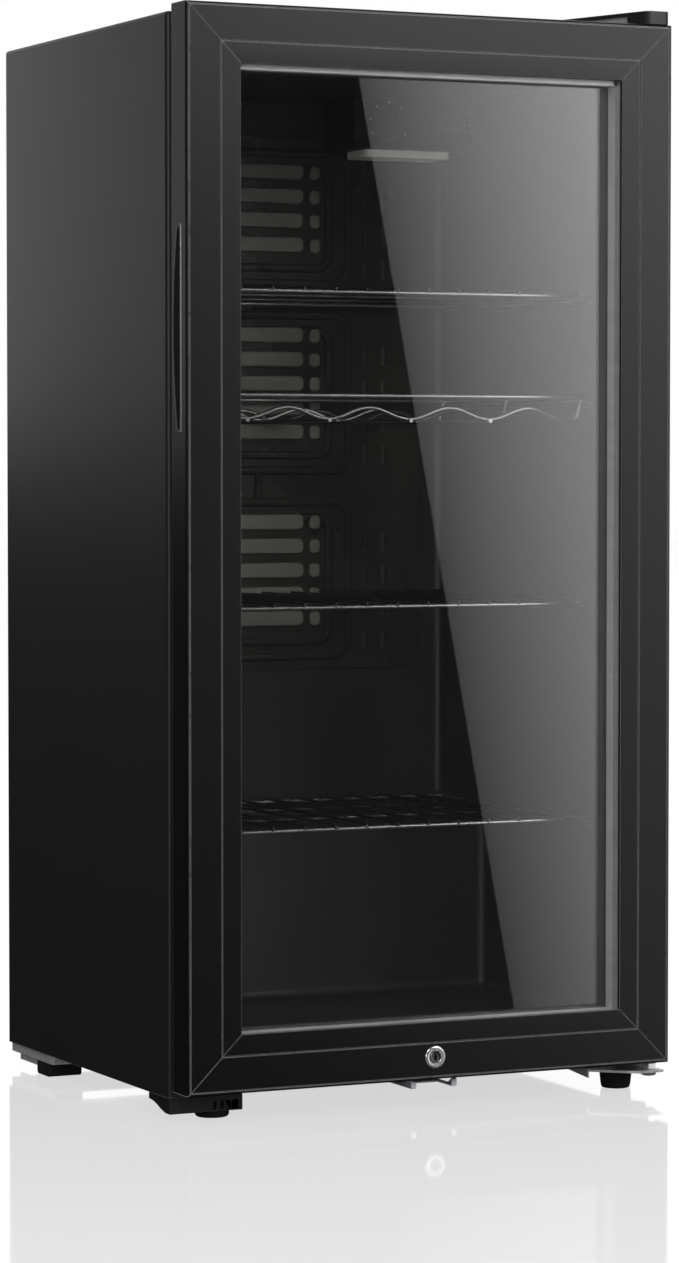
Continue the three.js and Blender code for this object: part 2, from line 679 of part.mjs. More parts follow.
function topHingeCover() {
  const plan = [
    [172, -86], [172, -108.5], [198.4, -191], [200.5, -197], [204.5, -200.3], [219, -200.3], [222.4, -198.6], [224, -195], [224, -86],
  ];
  const lid = prism("Z", plan, 921.6, 924);
  const cap = cut(
    prism("Z", plan, 913, 924).intersect(box([150, 230], [-210, -178], [900, 930])),
    prism("Z", [[201, -177], [201, -196], [205, -198.4], [218.6, -198.4], [222.2, -195], [222.2, -177]], 912, 921.6),
  );
  const side = box([222.4, 224], [-190, -86], [913, 923]).add(box([222.4, 224], [-158, -86], [908.3, 923]));
  const rear = box([172, 224], [-87.6, -86], [908.3, 923]);
  return join(lid, cap, side, rear);
}

// ---- feet -----------------------------------------------------------------------------------------------
function frontBracketLeft() {
  const outline = [
    [CAB_FRONT, 6.5], [-152, 6.5], [-143, 8.6], [-134, 11.6], [-126, 13.4], [-117.5, 14.2], [-117.5, 19.7], [CAB_FRONT, 19.7],
  ];
  const windows = [0, 1, 2, 3].map((k) => box([-187 + 6.6 * k, -182 + 6.6 * k], [-165, -150], [8, 15]));
  const shell = cut(
    prism("X", outline, -224, -158),
    box([-222.2, -159.8], [CAB_FRONT + 1.8, -119.5], [0, 17.6]),
    windows,
  );
  const boss = rod("Z", [...FOOT_LEFT, 12], 6, 8, 20);
  return cut(shell.add(boss), rod("Z", [...FOOT_LEFT, 8], 14, 4.4, 20));
}

const frontFootLeft = () =>
  join(
    lathe([[0, 0], [13.2, 0], [14.5, 1.6], [14.5, 8], [0, 8]], [...FOOT_LEFT, 0], 24),
    rod("Z", [...FOOT_LEFT, 7], 22, 4, 12),
  );
const frontFootRight = () =>
  join(
    lathe([[0, 0], [11.6, 0], [12.4, 1], [14.4, 17.3], [0, 17.3]], [...FOOT_RIGHT, 0], 24),
    rod("Z", [...FOOT_RIGHT, 16], 13, 4, 12),
  );
const rearFoot = () =>
  prism("X", [[110.5, 2], [112.5, 0], [137.5, 0], [139.5, 2], [139.5, 11.7], [110.5, 11.7]], -223, -192);

// ---- assembly ------------------------------------------------------------------------------------------------
const look = (color, roughness, metalness, extra = {}) =>
  new THREE.MeshStandardMaterial({ color, roughness, metalness, ...extra });
const SATIN_BLACK = look(0x2a2a2b, 0.42, 0.2);
const DOOR_BLACK = look(0x232324, 0.38, 0.3);
const LINER_BLACK = look(0x171718, 0.5, 0);
const PLASTIC = look(0x141415, 0.55, 0);
const RUBBER = look(0x101010, 0.85, 0);
const STEEL = look(0x9a9ca0, 0.35, 0.9);
const CHROME = look(0xd8d8da, 0.12, 1);
const COPPER = look(0xb56a3c, 0.35, 0.95);
const GALVANISED = look(0x8b8f93, 0.5, 0.8);
const GLASS = look(0xbfc8c8, 0.05, 0, { transparent: true, opacity: 0.3 });
const FOAM = look(0xe3d6a8, 0.95, 0);
const LENS = look(0xf2f0e6, 0.4, 0, { transparent: true, opacity: 0.8 });
const ALUMINIUM = look(0xa6a49c, 0.4, 0.9);

const cooler = new THREE.Group();
function add(name, body, material) {
  const mesh = new THREE.Mesh(surface(body), material);
  mesh.name = name;
  cooler.add(mesh);
}

add("cabinet_shell", cabinetShell(), SATIN_BLACK);
add("back_panel", backPanel(), SATIN_BLACK);
add("floor_panel", floorPanel(), GALVANISED);
add("inner_liner", innerLiner(), LINER_BLACK);
add("foam_insulation", foamInsulation(), FOAM);
add("evaporator_plate", evaporatorPlate(), ALUMINIUM);
add("condenser_coil", condenserCoil(), COPPER);
add("suction_pipe", suctionPipe(), COPPER);
add("discharge_pipe", dischargePipe(), COPPER);
add("capillary_tube", capillaryTube(), COPPER);
add("filter_drier", filterDrier(), COPPER);
add("compressor_shell", compressorShell(), SATIN_BLACK);
GROMMETS.forEach((at, k) => add(`compressor_grommet_${k + 1}`, grommet(at), RUBBER));
add("relay_cover", relayCover(), PLASTIC);
add("drain_tube", drainTube(), PLASTIC);
add("evaporating_tray", evaporatingTray(), PLASTIC);
add("compressor_plate", compressorPlate(), GALVANISED);
add("power_inlet", powerInlet(), PLASTIC);
add("control_box", controlBox(), PLASTIC);
add("thermostat_dial", thermostatDial(), PLASTIC);
add("lamp_switch", lampSwitch(), PLASTIC);
add("lamp_lens", lampLens(), LENS);
add("shelf_top", wireShelf(SHELF_Z.top), CHROME);
add("wine_rack", wineRack(SHELF_Z.rack), CHROME);
add("shelf_middle", wireShelf(SHELF_Z.middle), CHROME);
add("shelf_lower", wireShelf(SHELF_Z.lower), CHROME);
add("door_rail_top", doorRailTop(), DOOR_BLACK);
add("door_rail_bottom", doorRailBottom(), DOOR_BLACK);
add("door_stile_left", doorStileLeft(), DOOR_BLACK);
add("door_stile_right", doorStileRight(), DOOR_BLACK);
add("outer_glass", pane(4.3), GLASS);
add("glass_spacer", glassSpacer(), ALUMINIUM);
add("inner_glass", pane(20.9), GLASS);
add("door_inner_frame", doorInnerFrame(), PLASTIC);
add("door_gasket", doorGasket(), RUBBER);
add("handle_cup", handleCup(), PLASTIC);
add("handle_trim", handleTrim(), CHROME);
add("upper_hinge_bush", hingeBush(DOOR_HIGH - 14), PLASTIC);
add("lower_hinge_bush", hingeBush(DOOR_LOW + 0.3), PLASTIC);
add("lock_barrel", lockBarrel(), CHROME);
add("lock_plug", lockPlug(), CHROME);
add("lock_strike", lockStrike(), STEEL);
add("lower_hinge_bracket", lowerHingeBracket(), STEEL);
add("lower_hinge_pin", lowerHingePin(), CHROME);
add("lower_hinge_nut", lowerHingeNut(), CHROME);
LOWER_SCREWS.forEach((at, k) => add(`lower_hinge_screw_${k + 1}`, lowerHingeScrew(at), STEEL));
add("top_hinge_bracket", topHingeBracket(), STEEL);
add("top_hinge_pin", topHingePin(), CHROME);
TOP_SCREWS.forEach((at, k) => add(`top_hinge_screw_${k + 1}`, topHingeScrew(at), STEEL));
add("top_hinge_cover", topHingeCover(), PLASTIC);
add("front_bracket_left", frontBracketLeft(), PLASTIC);
add("front_foot_left", frontFootLeft(), RUBBER);
add("front_foot_right", frontFootRight(), RUBBER);
add("rear_foot_left", rearFoot(), RUBBER);
add("rear_foot_right", mirrored(rearFoot()), RUBBER);

export default cooler;
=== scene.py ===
# %% [markdown]
# # A small glass-door drinks cooler
# This notebook dresses a cooler whose frame of named solids is already fixed. Every new piece lies in the
# same space as the solid that it stands for, rides on the same body, and so moves with the same joint.
# The first cell loads that frame.

# %% Load the fixed frame
import math

import bmesh
import bpy
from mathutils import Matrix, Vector


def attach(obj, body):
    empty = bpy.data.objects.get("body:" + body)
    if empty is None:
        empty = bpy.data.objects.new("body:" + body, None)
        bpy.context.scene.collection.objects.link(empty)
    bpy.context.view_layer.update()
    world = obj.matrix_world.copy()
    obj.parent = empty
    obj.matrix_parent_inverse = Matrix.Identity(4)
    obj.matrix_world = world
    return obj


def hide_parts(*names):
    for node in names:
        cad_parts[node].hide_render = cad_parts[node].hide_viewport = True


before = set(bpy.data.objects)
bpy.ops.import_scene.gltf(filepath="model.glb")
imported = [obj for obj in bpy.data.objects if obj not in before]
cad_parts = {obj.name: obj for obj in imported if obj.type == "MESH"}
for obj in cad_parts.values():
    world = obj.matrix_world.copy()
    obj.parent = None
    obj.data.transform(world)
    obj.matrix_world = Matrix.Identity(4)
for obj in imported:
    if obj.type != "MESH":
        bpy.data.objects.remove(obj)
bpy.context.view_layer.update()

MM = 0.001  # all sizes below are written in millimetres

# %% [markdown]
# ## Camera
# The cooler is seen from its left, a little below its middle, with a long lens. Standing far away with a long
# lens keeps the upright edges nearly parallel, as in a catalogue view, and no lens shift is needed.

# %% Camera
CAMERA_AT, CAMERA_TILT, CAMERA_TURN, FOCAL_LENGTH = (-1.5249, -3.2062, 0.5436), 87.576, -25.549, 115.6
bpy.ops.object.camera_add(
    location=CAMERA_AT, rotation=(math.radians(CAMERA_TILT), 0, math.radians(CAMERA_TURN))
)
camera = bpy.context.object
camera.data.lens = FOCAL_LENGTH
camera.data.clip_start, camera.data.clip_end = 0.05, 60
bpy.context.scene.camera = camera
bpy.context.scene.view_settings.view_transform = "Standard"
print("camera lens:", round(camera.data.lens, 1), "mm")

# %% [markdown]
# ## Node helpers
# A finish is a network of nodes. Written out by hand it is long, so one helper adds a node, sets its values
# and links what is already a socket. Two short ones build on it, for a change of range and for a sum or
# product. A last helper starts a node group with named inputs and outputs.


# %% Node helpers
def put(tree, kind, sockets=None, **settings):
    """Adds a shader node, sets it, and fills or links its inputs."""
    node = tree.nodes.new("ShaderNode" + kind)
    for key, value in settings.items():
        setattr(node, key, value)
    for key, value in (sockets or {}).items():
        if isinstance(value, bpy.types.NodeSocket):
            tree.links.new(value, node.inputs[key])
        else:
            node.inputs[key].default_value = value
    return node


def ramp(tree, value, *levels):
    """Maps a value between two ranges, given as from low, from high, to low, to high."""
    return put(tree, "MapRange", {0: value, **dict(enumerate(levels, 1))})


def maths(tree, operation, *values):
    return put(tree, "Math", dict(enumerate(values)), operation=operation)


def start_group(name, takes, gives):
    """A new node group with number inputs, and outputs of the given kinds."""
    tree = bpy.data.node_groups.new(name, "ShaderNodeTree")
    for label, usual in takes.items():
        kind = "NodeSocketVector" if isinstance(usual, tuple) else "NodeSocketFloat"
        tree.interface.new_socket(label, in_out="INPUT", socket_type=kind).default_value = usual
    for label in gives:
        tree.interface.new_socket(label, in_out="OUTPUT", socket_type="NodeSocketFloat")
    return tree, tree.nodes.new("NodeGroupInput"), tree.nodes.new("NodeGroupOutput")


# %% [markdown]
# ## Shared surface effects
# Four effects return in most finishes. Grain is the fine relief of paint or a spark-eroded mould, with a
# slow mottle for uneven gloss. Edge wear and highlight finds edges, where a blunted normal leaves the true
# one, and breaks them into spots; on the black paints its light shade is a painted highlight along the edges,
# elsewhere it is wear. Dust settles on faces that look up. Cells are the closed bubbles of foam, or the
# crystals of a zinc coat.


# %% Grain group
grain_group, inside, outside = start_group(
    "fine_grain", {"Size": 900.0, "Stretch": (1.0, 1.0, 1.0)}, ["Height", "Mottle"]
)
place = put(grain_group, "TexCoord")
stretched = put(
    grain_group, "Mapping", {"Vector": place.outputs["Object"], "Scale": inside.outputs["Stretch"]},
)
fine = put(
    grain_group, "TexNoise",
    {"Vector": stretched.outputs[0], "Scale": inside.outputs["Size"], "Detail": 3.0, "Roughness": 0.6},
)
slow = put(grain_group, "TexNoise", {"Vector": stretched.outputs[0], "Scale": 11.0, "Detail": 4.0})
grain_group.links.new(fine.outputs[0], outside.inputs["Height"])
grain_group.links.new(slow.outputs[0], outside.inputs["Mottle"])

# %% Edge wear and painted edge highlight, and dust groups
# Its light shade on edges is wear on plastic and rubber, and a painted highlight on the black paints.
wear_and_highlight_group, inside, outside = start_group("edge_wear_and_highlight", {"Amount": 0.4, "Breakup": 160.0}, ["Mask"])
shape = put(wear_and_highlight_group, "NewGeometry")
place = put(wear_and_highlight_group, "TexCoord")
blunt = put(wear_and_highlight_group, "Bevel", {"Radius": 0.8 * MM}, samples=4)
turn = put(
    wear_and_highlight_group, "VectorMath", {0: blunt.outputs[0], 1: shape.outputs["Normal"]}, operation="DOT_PRODUCT",
)
edge = ramp(wear_and_highlight_group, turn.outputs["Value"], 0.995, 0.9, 0.0, 1.0)
patch = put(wear_and_highlight_group, "TexNoise", {"Vector": place.outputs["Object"], "Scale": inside.outputs["Breakup"]})
spots = ramp(wear_and_highlight_group, patch.outputs[0], 0.15, 0.4, 0.0, 1.0)
both = maths(wear_and_highlight_group, "MULTIPLY", edge.outputs[0], spots.outputs[0])
scaled = maths(wear_and_highlight_group, "MULTIPLY", both.outputs[0], inside.outputs["Amount"])
wear_and_highlight_group.links.new(scaled.outputs[0], outside.inputs["Mask"])

dust_group, inside, outside = start_group("settled_dust", {"Amount": 0.1}, ["Mask"])
shape = put(dust_group, "NewGeometry")
place = put(dust_group, "TexCoord")
parts = put(dust_group, "SeparateXYZ", {0: shape.outputs["Normal"]})
upward = ramp(dust_group, parts.outputs["Z"], 0.6, 1.0, 0.0, 1.0)
specks = put(dust_group, "TexNoise", {"Vector": place.outputs["Object"], "Scale": 700.0, "Detail": 2.0})
both = maths(dust_group, "MULTIPLY", upward.outputs[0], specks.outputs[0])
scaled = maths(dust_group, "MULTIPLY", both.outputs[0], inside.outputs["Amount"])
dust_group.links.new(scaled.outputs[0], outside.inputs["Mask"])

# %% Cell group
cell_group, inside, outside = start_group("cells", {"Size": 600.0}, ["Height", "Shade"])
place = put(cell_group, "TexCoord")
cells = put(cell_group, "TexVoronoi", {"Vector": place.outputs["Object"], "Scale": inside.outputs["Size"]})
shade = put(cell_group, "SeparateColor", {0: cells.outputs["Color"]})
cell_group.links.new(cells.outputs["Distance"], outside.inputs["Height"])
cell_group.links.new(shade.outputs[0], outside.inputs["Shade"])
print("groups:", [g.name for g in bpy.data.node_groups])

# %% [markdown]
# ## One recipe for solid finishes
# Paint, plastic, rubber and metal share a recipe: two close shades mixed by the slow mottle, a worn shade
# on the edges, a little dust on top, roughness that drifts with the mottle, and a bump from the grain. On the
# black paints the edge shade is light and nearly unbroken: a painted highlight along the edges, not wear.
# What differs is its numbers, so each finish below is one call. The colours are linear, and `bump` is a
# height in millimetres.


# %% The finish recipe
def finish(name, shades, rough, size, bump, worn_and_highlight_colour, wear_and_highlight=0.35, dust=0.05, stretch=(1, 1, 1), cell=0, **fixed):
    """A material with mottle, edge wear or painted edge highlight, dust and grain; fixed values go on the
    shader's own sockets.
    """
    material = bpy.data.materials.new(name)
    material.use_nodes = True
    tree = material.node_tree
    tree.nodes.clear()
    grain = put(tree, "Group", {}, node_tree=grain_group)
    grain.inputs["Size"].default_value, grain.inputs["Stretch"].default_value = size, stretch
    edges = put(tree, "Group", {}, node_tree=wear_and_highlight_group)
    edges.inputs["Amount"].default_value = wear_and_highlight
    settled = put(tree, "Group", {}, node_tree=dust_group)
    settled.inputs["Amount"].default_value = dust
    height, mottle = grain.outputs["Height"], grain.outputs["Mottle"]
    if cell:
        crystals = put(tree, "Group", {}, node_tree=cell_group)
        crystals.inputs["Size"].default_value = cell
        height, mottle = crystals.outputs["Height"], crystals.outputs["Shade"]
    drift = ramp(tree, mottle, 0.3, 0.7, 0.0, 1.0)
    low, high = ((*shade, 1) for shade in shades)
    body = put(tree, "Mix", {0: drift.outputs[0], 6: low, 7: high}, data_type="RGBA")
    # On the black paints this mix lays a light painted highlight along the edges.
    rubbed_and_highlit = put(tree, "Mix", {0: edges.outputs[0], 6: body.outputs[2], 7: (*worn_and_highlight_colour, 1)}, data_type="RGBA")
    dusty = put(
        tree, "Mix", {0: settled.outputs[0], 6: rubbed_and_highlit.outputs[2], 7: (0.3, 0.29, 0.27, 1)}, data_type="RGBA"
    )
    gloss = ramp(tree, mottle, 0.25, 0.75, rough[0], rough[1])
    relief = put(tree, "Bump", {"Height": height, "Strength": 0.6, "Distance": bump * MM})
    shader = put(
        tree, "BsdfPrincipled",
        {"Base Color": dusty.outputs[2], "Roughness": gloss.outputs[0], "Normal": relief.outputs[0], **fixed},
    )
    put(tree, "OutputMaterial", {"Surface": shader.outputs[0]})
    return material


# %% [markdown]
# ## The finishes
# - Cabinet paint: black powder coat on thin steel, with orange peel about a millimetre wide, and a light
#   painted highlight along its edges.
# - Door paint: the same black over extruded trim, finer and a little glossier, with the same painted edge
#   highlight.
# - Liner: vacuum-formed black styrene, smooth, with slow waves from forming.
# - Moulded plastic and rubber: fine mould grain, dull. Rubber has almost no shine.
# - Zinc steel shows crystals, chrome a fine polish, copper a tarnish that drifts along the tube.

# %% Finishes
# The light edge shade at full amount is a painted highlight along every edge.
cabinet_paint = finish(
    "satin_black_powder_coat", [(0.012, 0.012, 0.0125), (0.0135, 0.0135, 0.014)], (0.47, 0.48), 1100, 0.02,
    (0.3, 0.3, 0.31), wear_and_highlight=1.0, **{"Specular IOR Level": 0.5},
)
# The light edge shade at full amount is a painted highlight along every edge.
door_paint = finish(
    "satin_black_door_trim", [(0.0035, 0.0035, 0.0037), (0.004, 0.004, 0.0042)], (0.3, 0.304), 1500, 0.006,
    (0.32, 0.32, 0.325), wear_and_highlight=1.0, **{"Specular IOR Level": 0.27},
)
liner_plastic = finish(
    "black_formed_liner", [(0.013, 0.013, 0.0128), (0.0155, 0.0153, 0.0148)], (0.42, 0.47), 900, 0.02,
    (0.03, 0.03, 0.03), wear_and_highlight=0.15, dust=0.02, **{"Specular IOR Level": 0.55},
)
moulded_plastic = finish(
    "black_moulded_plastic", [(0.009, 0.009, 0.0095), (0.014, 0.014, 0.0145)], (0.4, 0.52), 2400, 0.03,
    (0.045, 0.045, 0.045),
)
rubber = finish(
    "black_rubber", [(0.008, 0.008, 0.008), (0.015, 0.015, 0.0145)], (0.68, 0.85), 1800, 0.05,
    (0.05, 0.048, 0.045), dust=0.12, **{"Specular IOR Level": 0.35},
)
zinc_steel = finish(
    "zinc_plated_steel", [(0.58, 0.58, 0.62), (0.66, 0.66, 0.7)], (0.28, 0.38), 900, 0.01,
    (0.8, 0.8, 0.82), cell=260, **{"Metallic": 0.45},
)
chrome = finish(
    "bright_chrome", [(0.72, 0.72, 0.73), (0.8, 0.8, 0.81)], (0.16, 0.22), 1400, 0.004,
    (0.9, 0.9, 0.9), dust=0.02, **{"Metallic": 0.75},
)
# Bright metal for the shelf rims and the rack, lighter than the black cross wires: a painted highlight.
painted_highlight_wire = finish(
    "bright_wire_painted_highlight", [(0.58, 0.58, 0.582), (0.68, 0.68, 0.68)], (0.18, 0.24), 1600, 0.004,
    (0.8, 0.8, 0.8), wear_and_highlight=0.3, **{"Metallic": 1.0},
)
dark_wire = finish(
    "black_nickel_wire", [(0.1, 0.1, 0.1), (0.15, 0.15, 0.15)], (0.26, 0.34), 1600, 0.006,
    (0.3, 0.3, 0.3), wear_and_highlight=0.3, **{"Metallic": 1.0},
)
copper = finish(
    "drawn_copper", [(0.5, 0.2, 0.1), (0.68, 0.33, 0.2)], (0.24, 0.42), 700, 0.01,
    (0.8, 0.45, 0.3), **{"Metallic": 1.0},
)
lacquered_plate = finish(
    "lacquered_evaporator_plate", [(0.035, 0.034, 0.031), (0.05, 0.048, 0.043)], (0.24, 0.32), 800, 0.02,
    (0.2, 0.19, 0.17), **{"Metallic": 0.5},
)
# Lighter than the plate: a painted highlight on the pads' flat faces.
painted_highlight_pads = finish(
    "evaporator_pads_painted_highlight", [(0.17, 0.163, 0.148), (0.25, 0.24, 0.218)], (0.3, 0.42), 900, 0.02,
    (0.6, 0.58, 0.54), **{"Metallic": 0.3},
)
spacer_metal = finish(
    "anodised_spacer", [(0.42, 0.42, 0.415), (0.5, 0.5, 0.49)], (0.38, 0.46), 1200, 0.01,
    (0.6, 0.6, 0.59), stretch=(1, 1, 8), **{"Metallic": 0.4},
)
foam = finish(
    "blown_foam", [(0.58, 0.45, 0.2), (0.7, 0.58, 0.32)], (0.85, 0.95), 600, 0.4,
    (0.75, 0.65, 0.4), cell=700,
)
lens_plastic = finish(
    "milky_lamp_lens", [(0.78, 0.77, 0.73), (0.84, 0.83, 0.8)], (0.25, 0.35), 500, 0.05,
    (0.9, 0.9, 0.88), **{"Emission Color": (1, 0.97, 0.9, 1), "Emission Strength": 0.02},
)
mark_paint = finish(
    "white_dial_print", [(0.5, 0.5, 0.5), (0.6, 0.6, 0.6)], (0.5, 0.6), 1500, 0.01, (0.3, 0.3, 0.3)
)
print("finishes:", len(bpy.data.materials))


# %% [markdown]
# ## Glass
# The door has two panes. Each is a thin closed slab with a real refraction. A beam that is only lighting
# the inside must not be stopped by it, so for shadow rays the pane turns clear. A faint smear in the gloss
# keeps it from looking computer-perfect. The indices are set for the look and not measured: the inner
# pane's is higher, for its coat that throws heat back and mirrors more, and the outer pane's is low to keep
# its own image faint.


# %% Glass
def glass(name, index, tint):
    material = bpy.data.materials.new(name)
    material.use_nodes = True
    tree = material.node_tree
    tree.nodes.clear()
    grain = put(tree, "Group", {}, node_tree=grain_group)
    grain.inputs["Size"].default_value, grain.inputs["Stretch"].default_value = 30, (1, 1, 0.4)
    smear = ramp(tree, grain.outputs["Mottle"], 0.45, 0.8, 0.0, 0.012)
    shader = put(
        tree, "BsdfPrincipled",
        {"Base Color": (*tint, 1), "Roughness": smear.outputs[0], "IOR": index, "Transmission Weight": 1.0},
    )
    ray = put(tree, "LightPath")
    clear = put(tree, "BsdfTransparent", {"Color": (*tint, 1)})
    both = put(
        tree, "MixShader", {0: ray.outputs["Is Shadow Ray"], 1: shader.outputs[0], 2: clear.outputs[0]},
    )
    put(tree, "OutputMaterial", {"Surface": both.outputs[0]})
    return material


outer_pane_glass = glass("clear_outer_glass", 1.14, (0.96, 0.963, 0.96))
inner_pane_glass = glass("coated_inner_glass", 1.72, (0.95, 0.953, 0.95))

# %% [markdown]
# ## Floor, backdrop and light
# A pale floor with a soft mirror image and a white backdrop. The floor is lit partly by itself, so that the
# shade under the cabinet stays light. It is kept out of the mirror images on the cooler, and out of what is
# seen through the panes. The backdrop is white to the camera, and dim but for a bright part to what is
# mirrored.


# %% Floor and backdrop
def shaders(material):
    material.use_nodes = True
    material.node_tree.nodes.clear()
    return material.node_tree


bpy.ops.object.select_all(action="DESELECT")
bpy.ops.mesh.primitive_plane_add(size=40)
floor = bpy.context.object
floor.name = "studio_floor"
floor.visible_glossy = floor.visible_transmission = False
floor.data.materials.append(bpy.data.materials.new("pale_gloss_floor"))
tree = shaders(floor.data.materials[0])
ray = put(tree, "LightPath")
glow = put(tree, "Emission", {"Color": (1, 1, 1, 1), "Strength": 0.95})
matt = put(tree, "BsdfDiffuse", {"Color": (0.12, 0.12, 0.12, 1)})
mirror = put(tree, "BsdfGlossy", {"Color": (1, 1, 1, 1), "Roughness": 0.06})
lit = put(tree, "AddShader", {0: glow.outputs[0], 1: matt.outputs[0]})
grazing = put(tree, "Fresnel", {"IOR": 1.19})
seen = put(tree, "MixShader", {0: grazing.outputs[0], 1: lit.outputs[0], 2: mirror.outputs[0]})
dim = put(tree, "BsdfDiffuse", {"Color": (0.35, 0.35, 0.35, 1)})
floor_look = put(tree, "MixShader", {0: ray.outputs["Is Camera Ray"], 1: dim.outputs[0], 2: seen.outputs[0]})
put(tree, "OutputMaterial", {"Surface": floor_look.outputs[0]})

world = bpy.data.worlds.new("studio")
bpy.context.scene.world = world
world.use_nodes = True
tree = world.node_tree
tree.nodes.clear()
ray = put(tree, "LightPath")
way = put(tree, "SeparateXYZ", {0: put(tree, "TexCoord").outputs["Generated"]})
behind = ramp(tree, way.outputs["Y"], 0.0, 0.4, 0.0, 1.0)
rightward = ramp(tree, way.outputs["X"], -0.2, 0.0, 0.0, 1.0)
above = ramp(tree, way.outputs["Z"], -0.05, 0.02, 0.0, 1.0)
wall = maths(tree, "MULTIPLY", behind.outputs[0], rightward.outputs[0])
wall = maths(tree, "MULTIPLY", wall.outputs[0], above.outputs[0])
mirrored = ramp(tree, wall.outputs[0], 0.0, 1.0, 0.03, 1.0)
soft = put(tree, "Mix", {0: ray.outputs["Is Diffuse Ray"], 2: mirrored.outputs[0], 3: 0.3})
bounced = put(tree, "Math", {0: ray.outputs["Glossy Depth"], 1: ray.outputs["Diffuse Depth"]})
direct = maths(tree, "LESS_THAN", bounced.outputs[0], 0.5)
through = maths(tree, "MULTIPLY", ray.outputs["Is Transmission Ray"], direct.outputs[0])
plain = maths(tree, "MAXIMUM", ray.outputs["Is Camera Ray"], through.outputs[0])
level = put(tree, "Mix", {0: plain.outputs[0], 2: soft.outputs[0], 3: 1.0})
sky = put(tree, "Background", {"Color": (1, 1, 1, 1), "Strength": level.outputs[0]})
put(tree, "OutputWorld", {"Surface": sky.outputs[0]})
print("stage: floor and backdrop")


# %% [markdown]
# ## Lamps
# Black gloss shows nothing but its surroundings, so the light is shaped with a card and softboxes. The tall
# slanted card at the front right is brighter towards its far side, and gives the diagonal sheen on the
# glass. Two softboxes just above it and beside it grade the frame from grey to black, one close behind does
# the same for the side wall, an upright strip lamp draws a line down each rounded edge, and a front fill
# reaches the shelves.


# %% Lamps
def card(name, low_left, low_right, high_left, bright):
    """A slanted panel that glows more towards its right and its top."""
    bpy.ops.object.select_all(action="DESELECT")
    bpy.ops.mesh.primitive_plane_add(size=1)
    panel = bpy.context.object
    panel.name = name
    corners = [Vector(low_left), Vector(low_right), Vector(high_left)]
    corners.append(corners[1] + corners[2] - corners[0])
    for vertex, corner in zip(panel.data.vertices, corners):
        vertex.co = corner
    panel.visible_camera = False
    panel.visible_diffuse = False
    panel.data.materials.append(bpy.data.materials.new(name))
    tree = shaders(panel.data.materials[0])
    spread = put(tree, "SeparateXYZ", {0: put(tree, "UVMap").outputs[0]})
    across = ramp(tree, spread.outputs["X"], 0.0, 1.0, bright[0], bright[1])
    up = ramp(tree, spread.outputs["Y"], 0.0, 1.0, bright[2], bright[3])
    level = maths(tree, "MULTIPLY", across.outputs[0], up.outputs[0])
    glow = put(tree, "Emission", {"Color": (1, 1, 1, 1), "Strength": level.outputs[0]})
    put(tree, "OutputMaterial", {"Surface": glow.outputs[0]})
    return panel


def softbox(name, at, towards, size, power):
    turn = (Vector(towards) - Vector(at)).to_track_quat("-Z", "Y").to_euler()
    bpy.ops.object.light_add(type="AREA", location=at, rotation=turn)
    lamp = bpy.context.object
    lamp.name = name
    lamp.data.shape = "RECTANGLE"
    lamp.data.size, lamp.data.size_y = size
    lamp.data.energy = power
    lamp.visible_camera = lamp.visible_transmission = False
    return lamp


card("sweep_card", (1.79, -3.2, -0.9), (2.79, -3.2, -0.9), (1.292, -3.2, 1.75), (0.45, 4.6, 0.6, 1.1))
softbox("high_softbox", (1.95, -3.25, 1.75), (1.95, 0.0, 1.5), (1.8, 0.9), 60)
softbox("right_softbox", (2.45, -3.25, 0.95), (1.9, 0.0, 0.7), (0.8, 0.7), 19)
softbox("side_softbox", (-0.41, 0.95, 0.93), (-0.225, 0.0, 0.8), (0.36, 0.75), 1.15)
softbox("edge_strip", (-1.9, -2.3, 0.6), (-0.2, -0.1, 0.5), (0.15, 1.6), 12)
softbox("front_fill", (-1.5, -2.4, 2.0), (0.0, 0.0, 0.5), (1.2, 1.0), 26)

# %% [markdown]
# ## Modelling helpers
# Each piece starts from a primitive, is shaped in edit mode, and ends with its place in its mesh. These
# helpers wrap the operators: start a block or a flat outline, pull it, pick faces or edges by their place,
# round, cut, drill, spin a section, or bend wire. Faces are picked by code because there is no window to
# click in.


# %% Start shapes
def leave():
    bpy.ops.object.mode_set(mode="OBJECT")


def alone(piece=None):
    """Leaves edit mode and selects nothing but this piece."""
    if bpy.context.object and bpy.context.object.mode != "OBJECT":
        leave()
    bpy.ops.object.select_all(action="DESELECT")
    if piece:
        piece.select_set(True)
        bpy.context.view_layer.objects.active = piece


def edit(piece):
    """Opens a piece in edit mode, with all of it selected."""
    alone(piece)
    bpy.ops.object.mode_set(mode="EDIT")
    bpy.ops.mesh.select_all(action="SELECT")


def block(name, low, high):
    """A box between two corners."""
    alone()
    low, high = Vector(low) * MM, Vector(high) * MM
    bpy.ops.mesh.primitive_cube_add(size=1, location=(low + high) / 2, scale=high - low)
    piece = bpy.context.object
    piece.name = name
    bpy.ops.object.transform_apply()
    return piece


def outline(name, corners, filled=True):
    """A flat face, or a closed line, through the given corners."""
    alone()
    bpy.ops.mesh.primitive_circle_add(vertices=len(corners), fill_type="NGON" if filled else "NOTHING")
    piece = bpy.context.object
    piece.name = name
    for vertex, corner in zip(piece.data.vertices, corners):
        vertex.co = Vector(corner) * MM
    return piece


def face_out(piece):
    edit(piece)
    bpy.ops.mesh.remove_doubles(threshold=1e-6)
    bpy.ops.mesh.normals_make_consistent(inside=False)
    leave()
    return piece


def pull(piece, by):
    """Extrudes all of a flat shape into a solid."""
    edit(piece)
    bpy.ops.mesh.extrude_region_move(TRANSFORM_OT_translate={"value": Vector(by) * MM})
    leave()
    return face_out(piece)


# %% Pick, round and cut
def along(axis):
    """A test for edges that run along an axis, and for faces that look along it."""
    return lambda m, w: abs(getattr(w, axis)) > 0.9


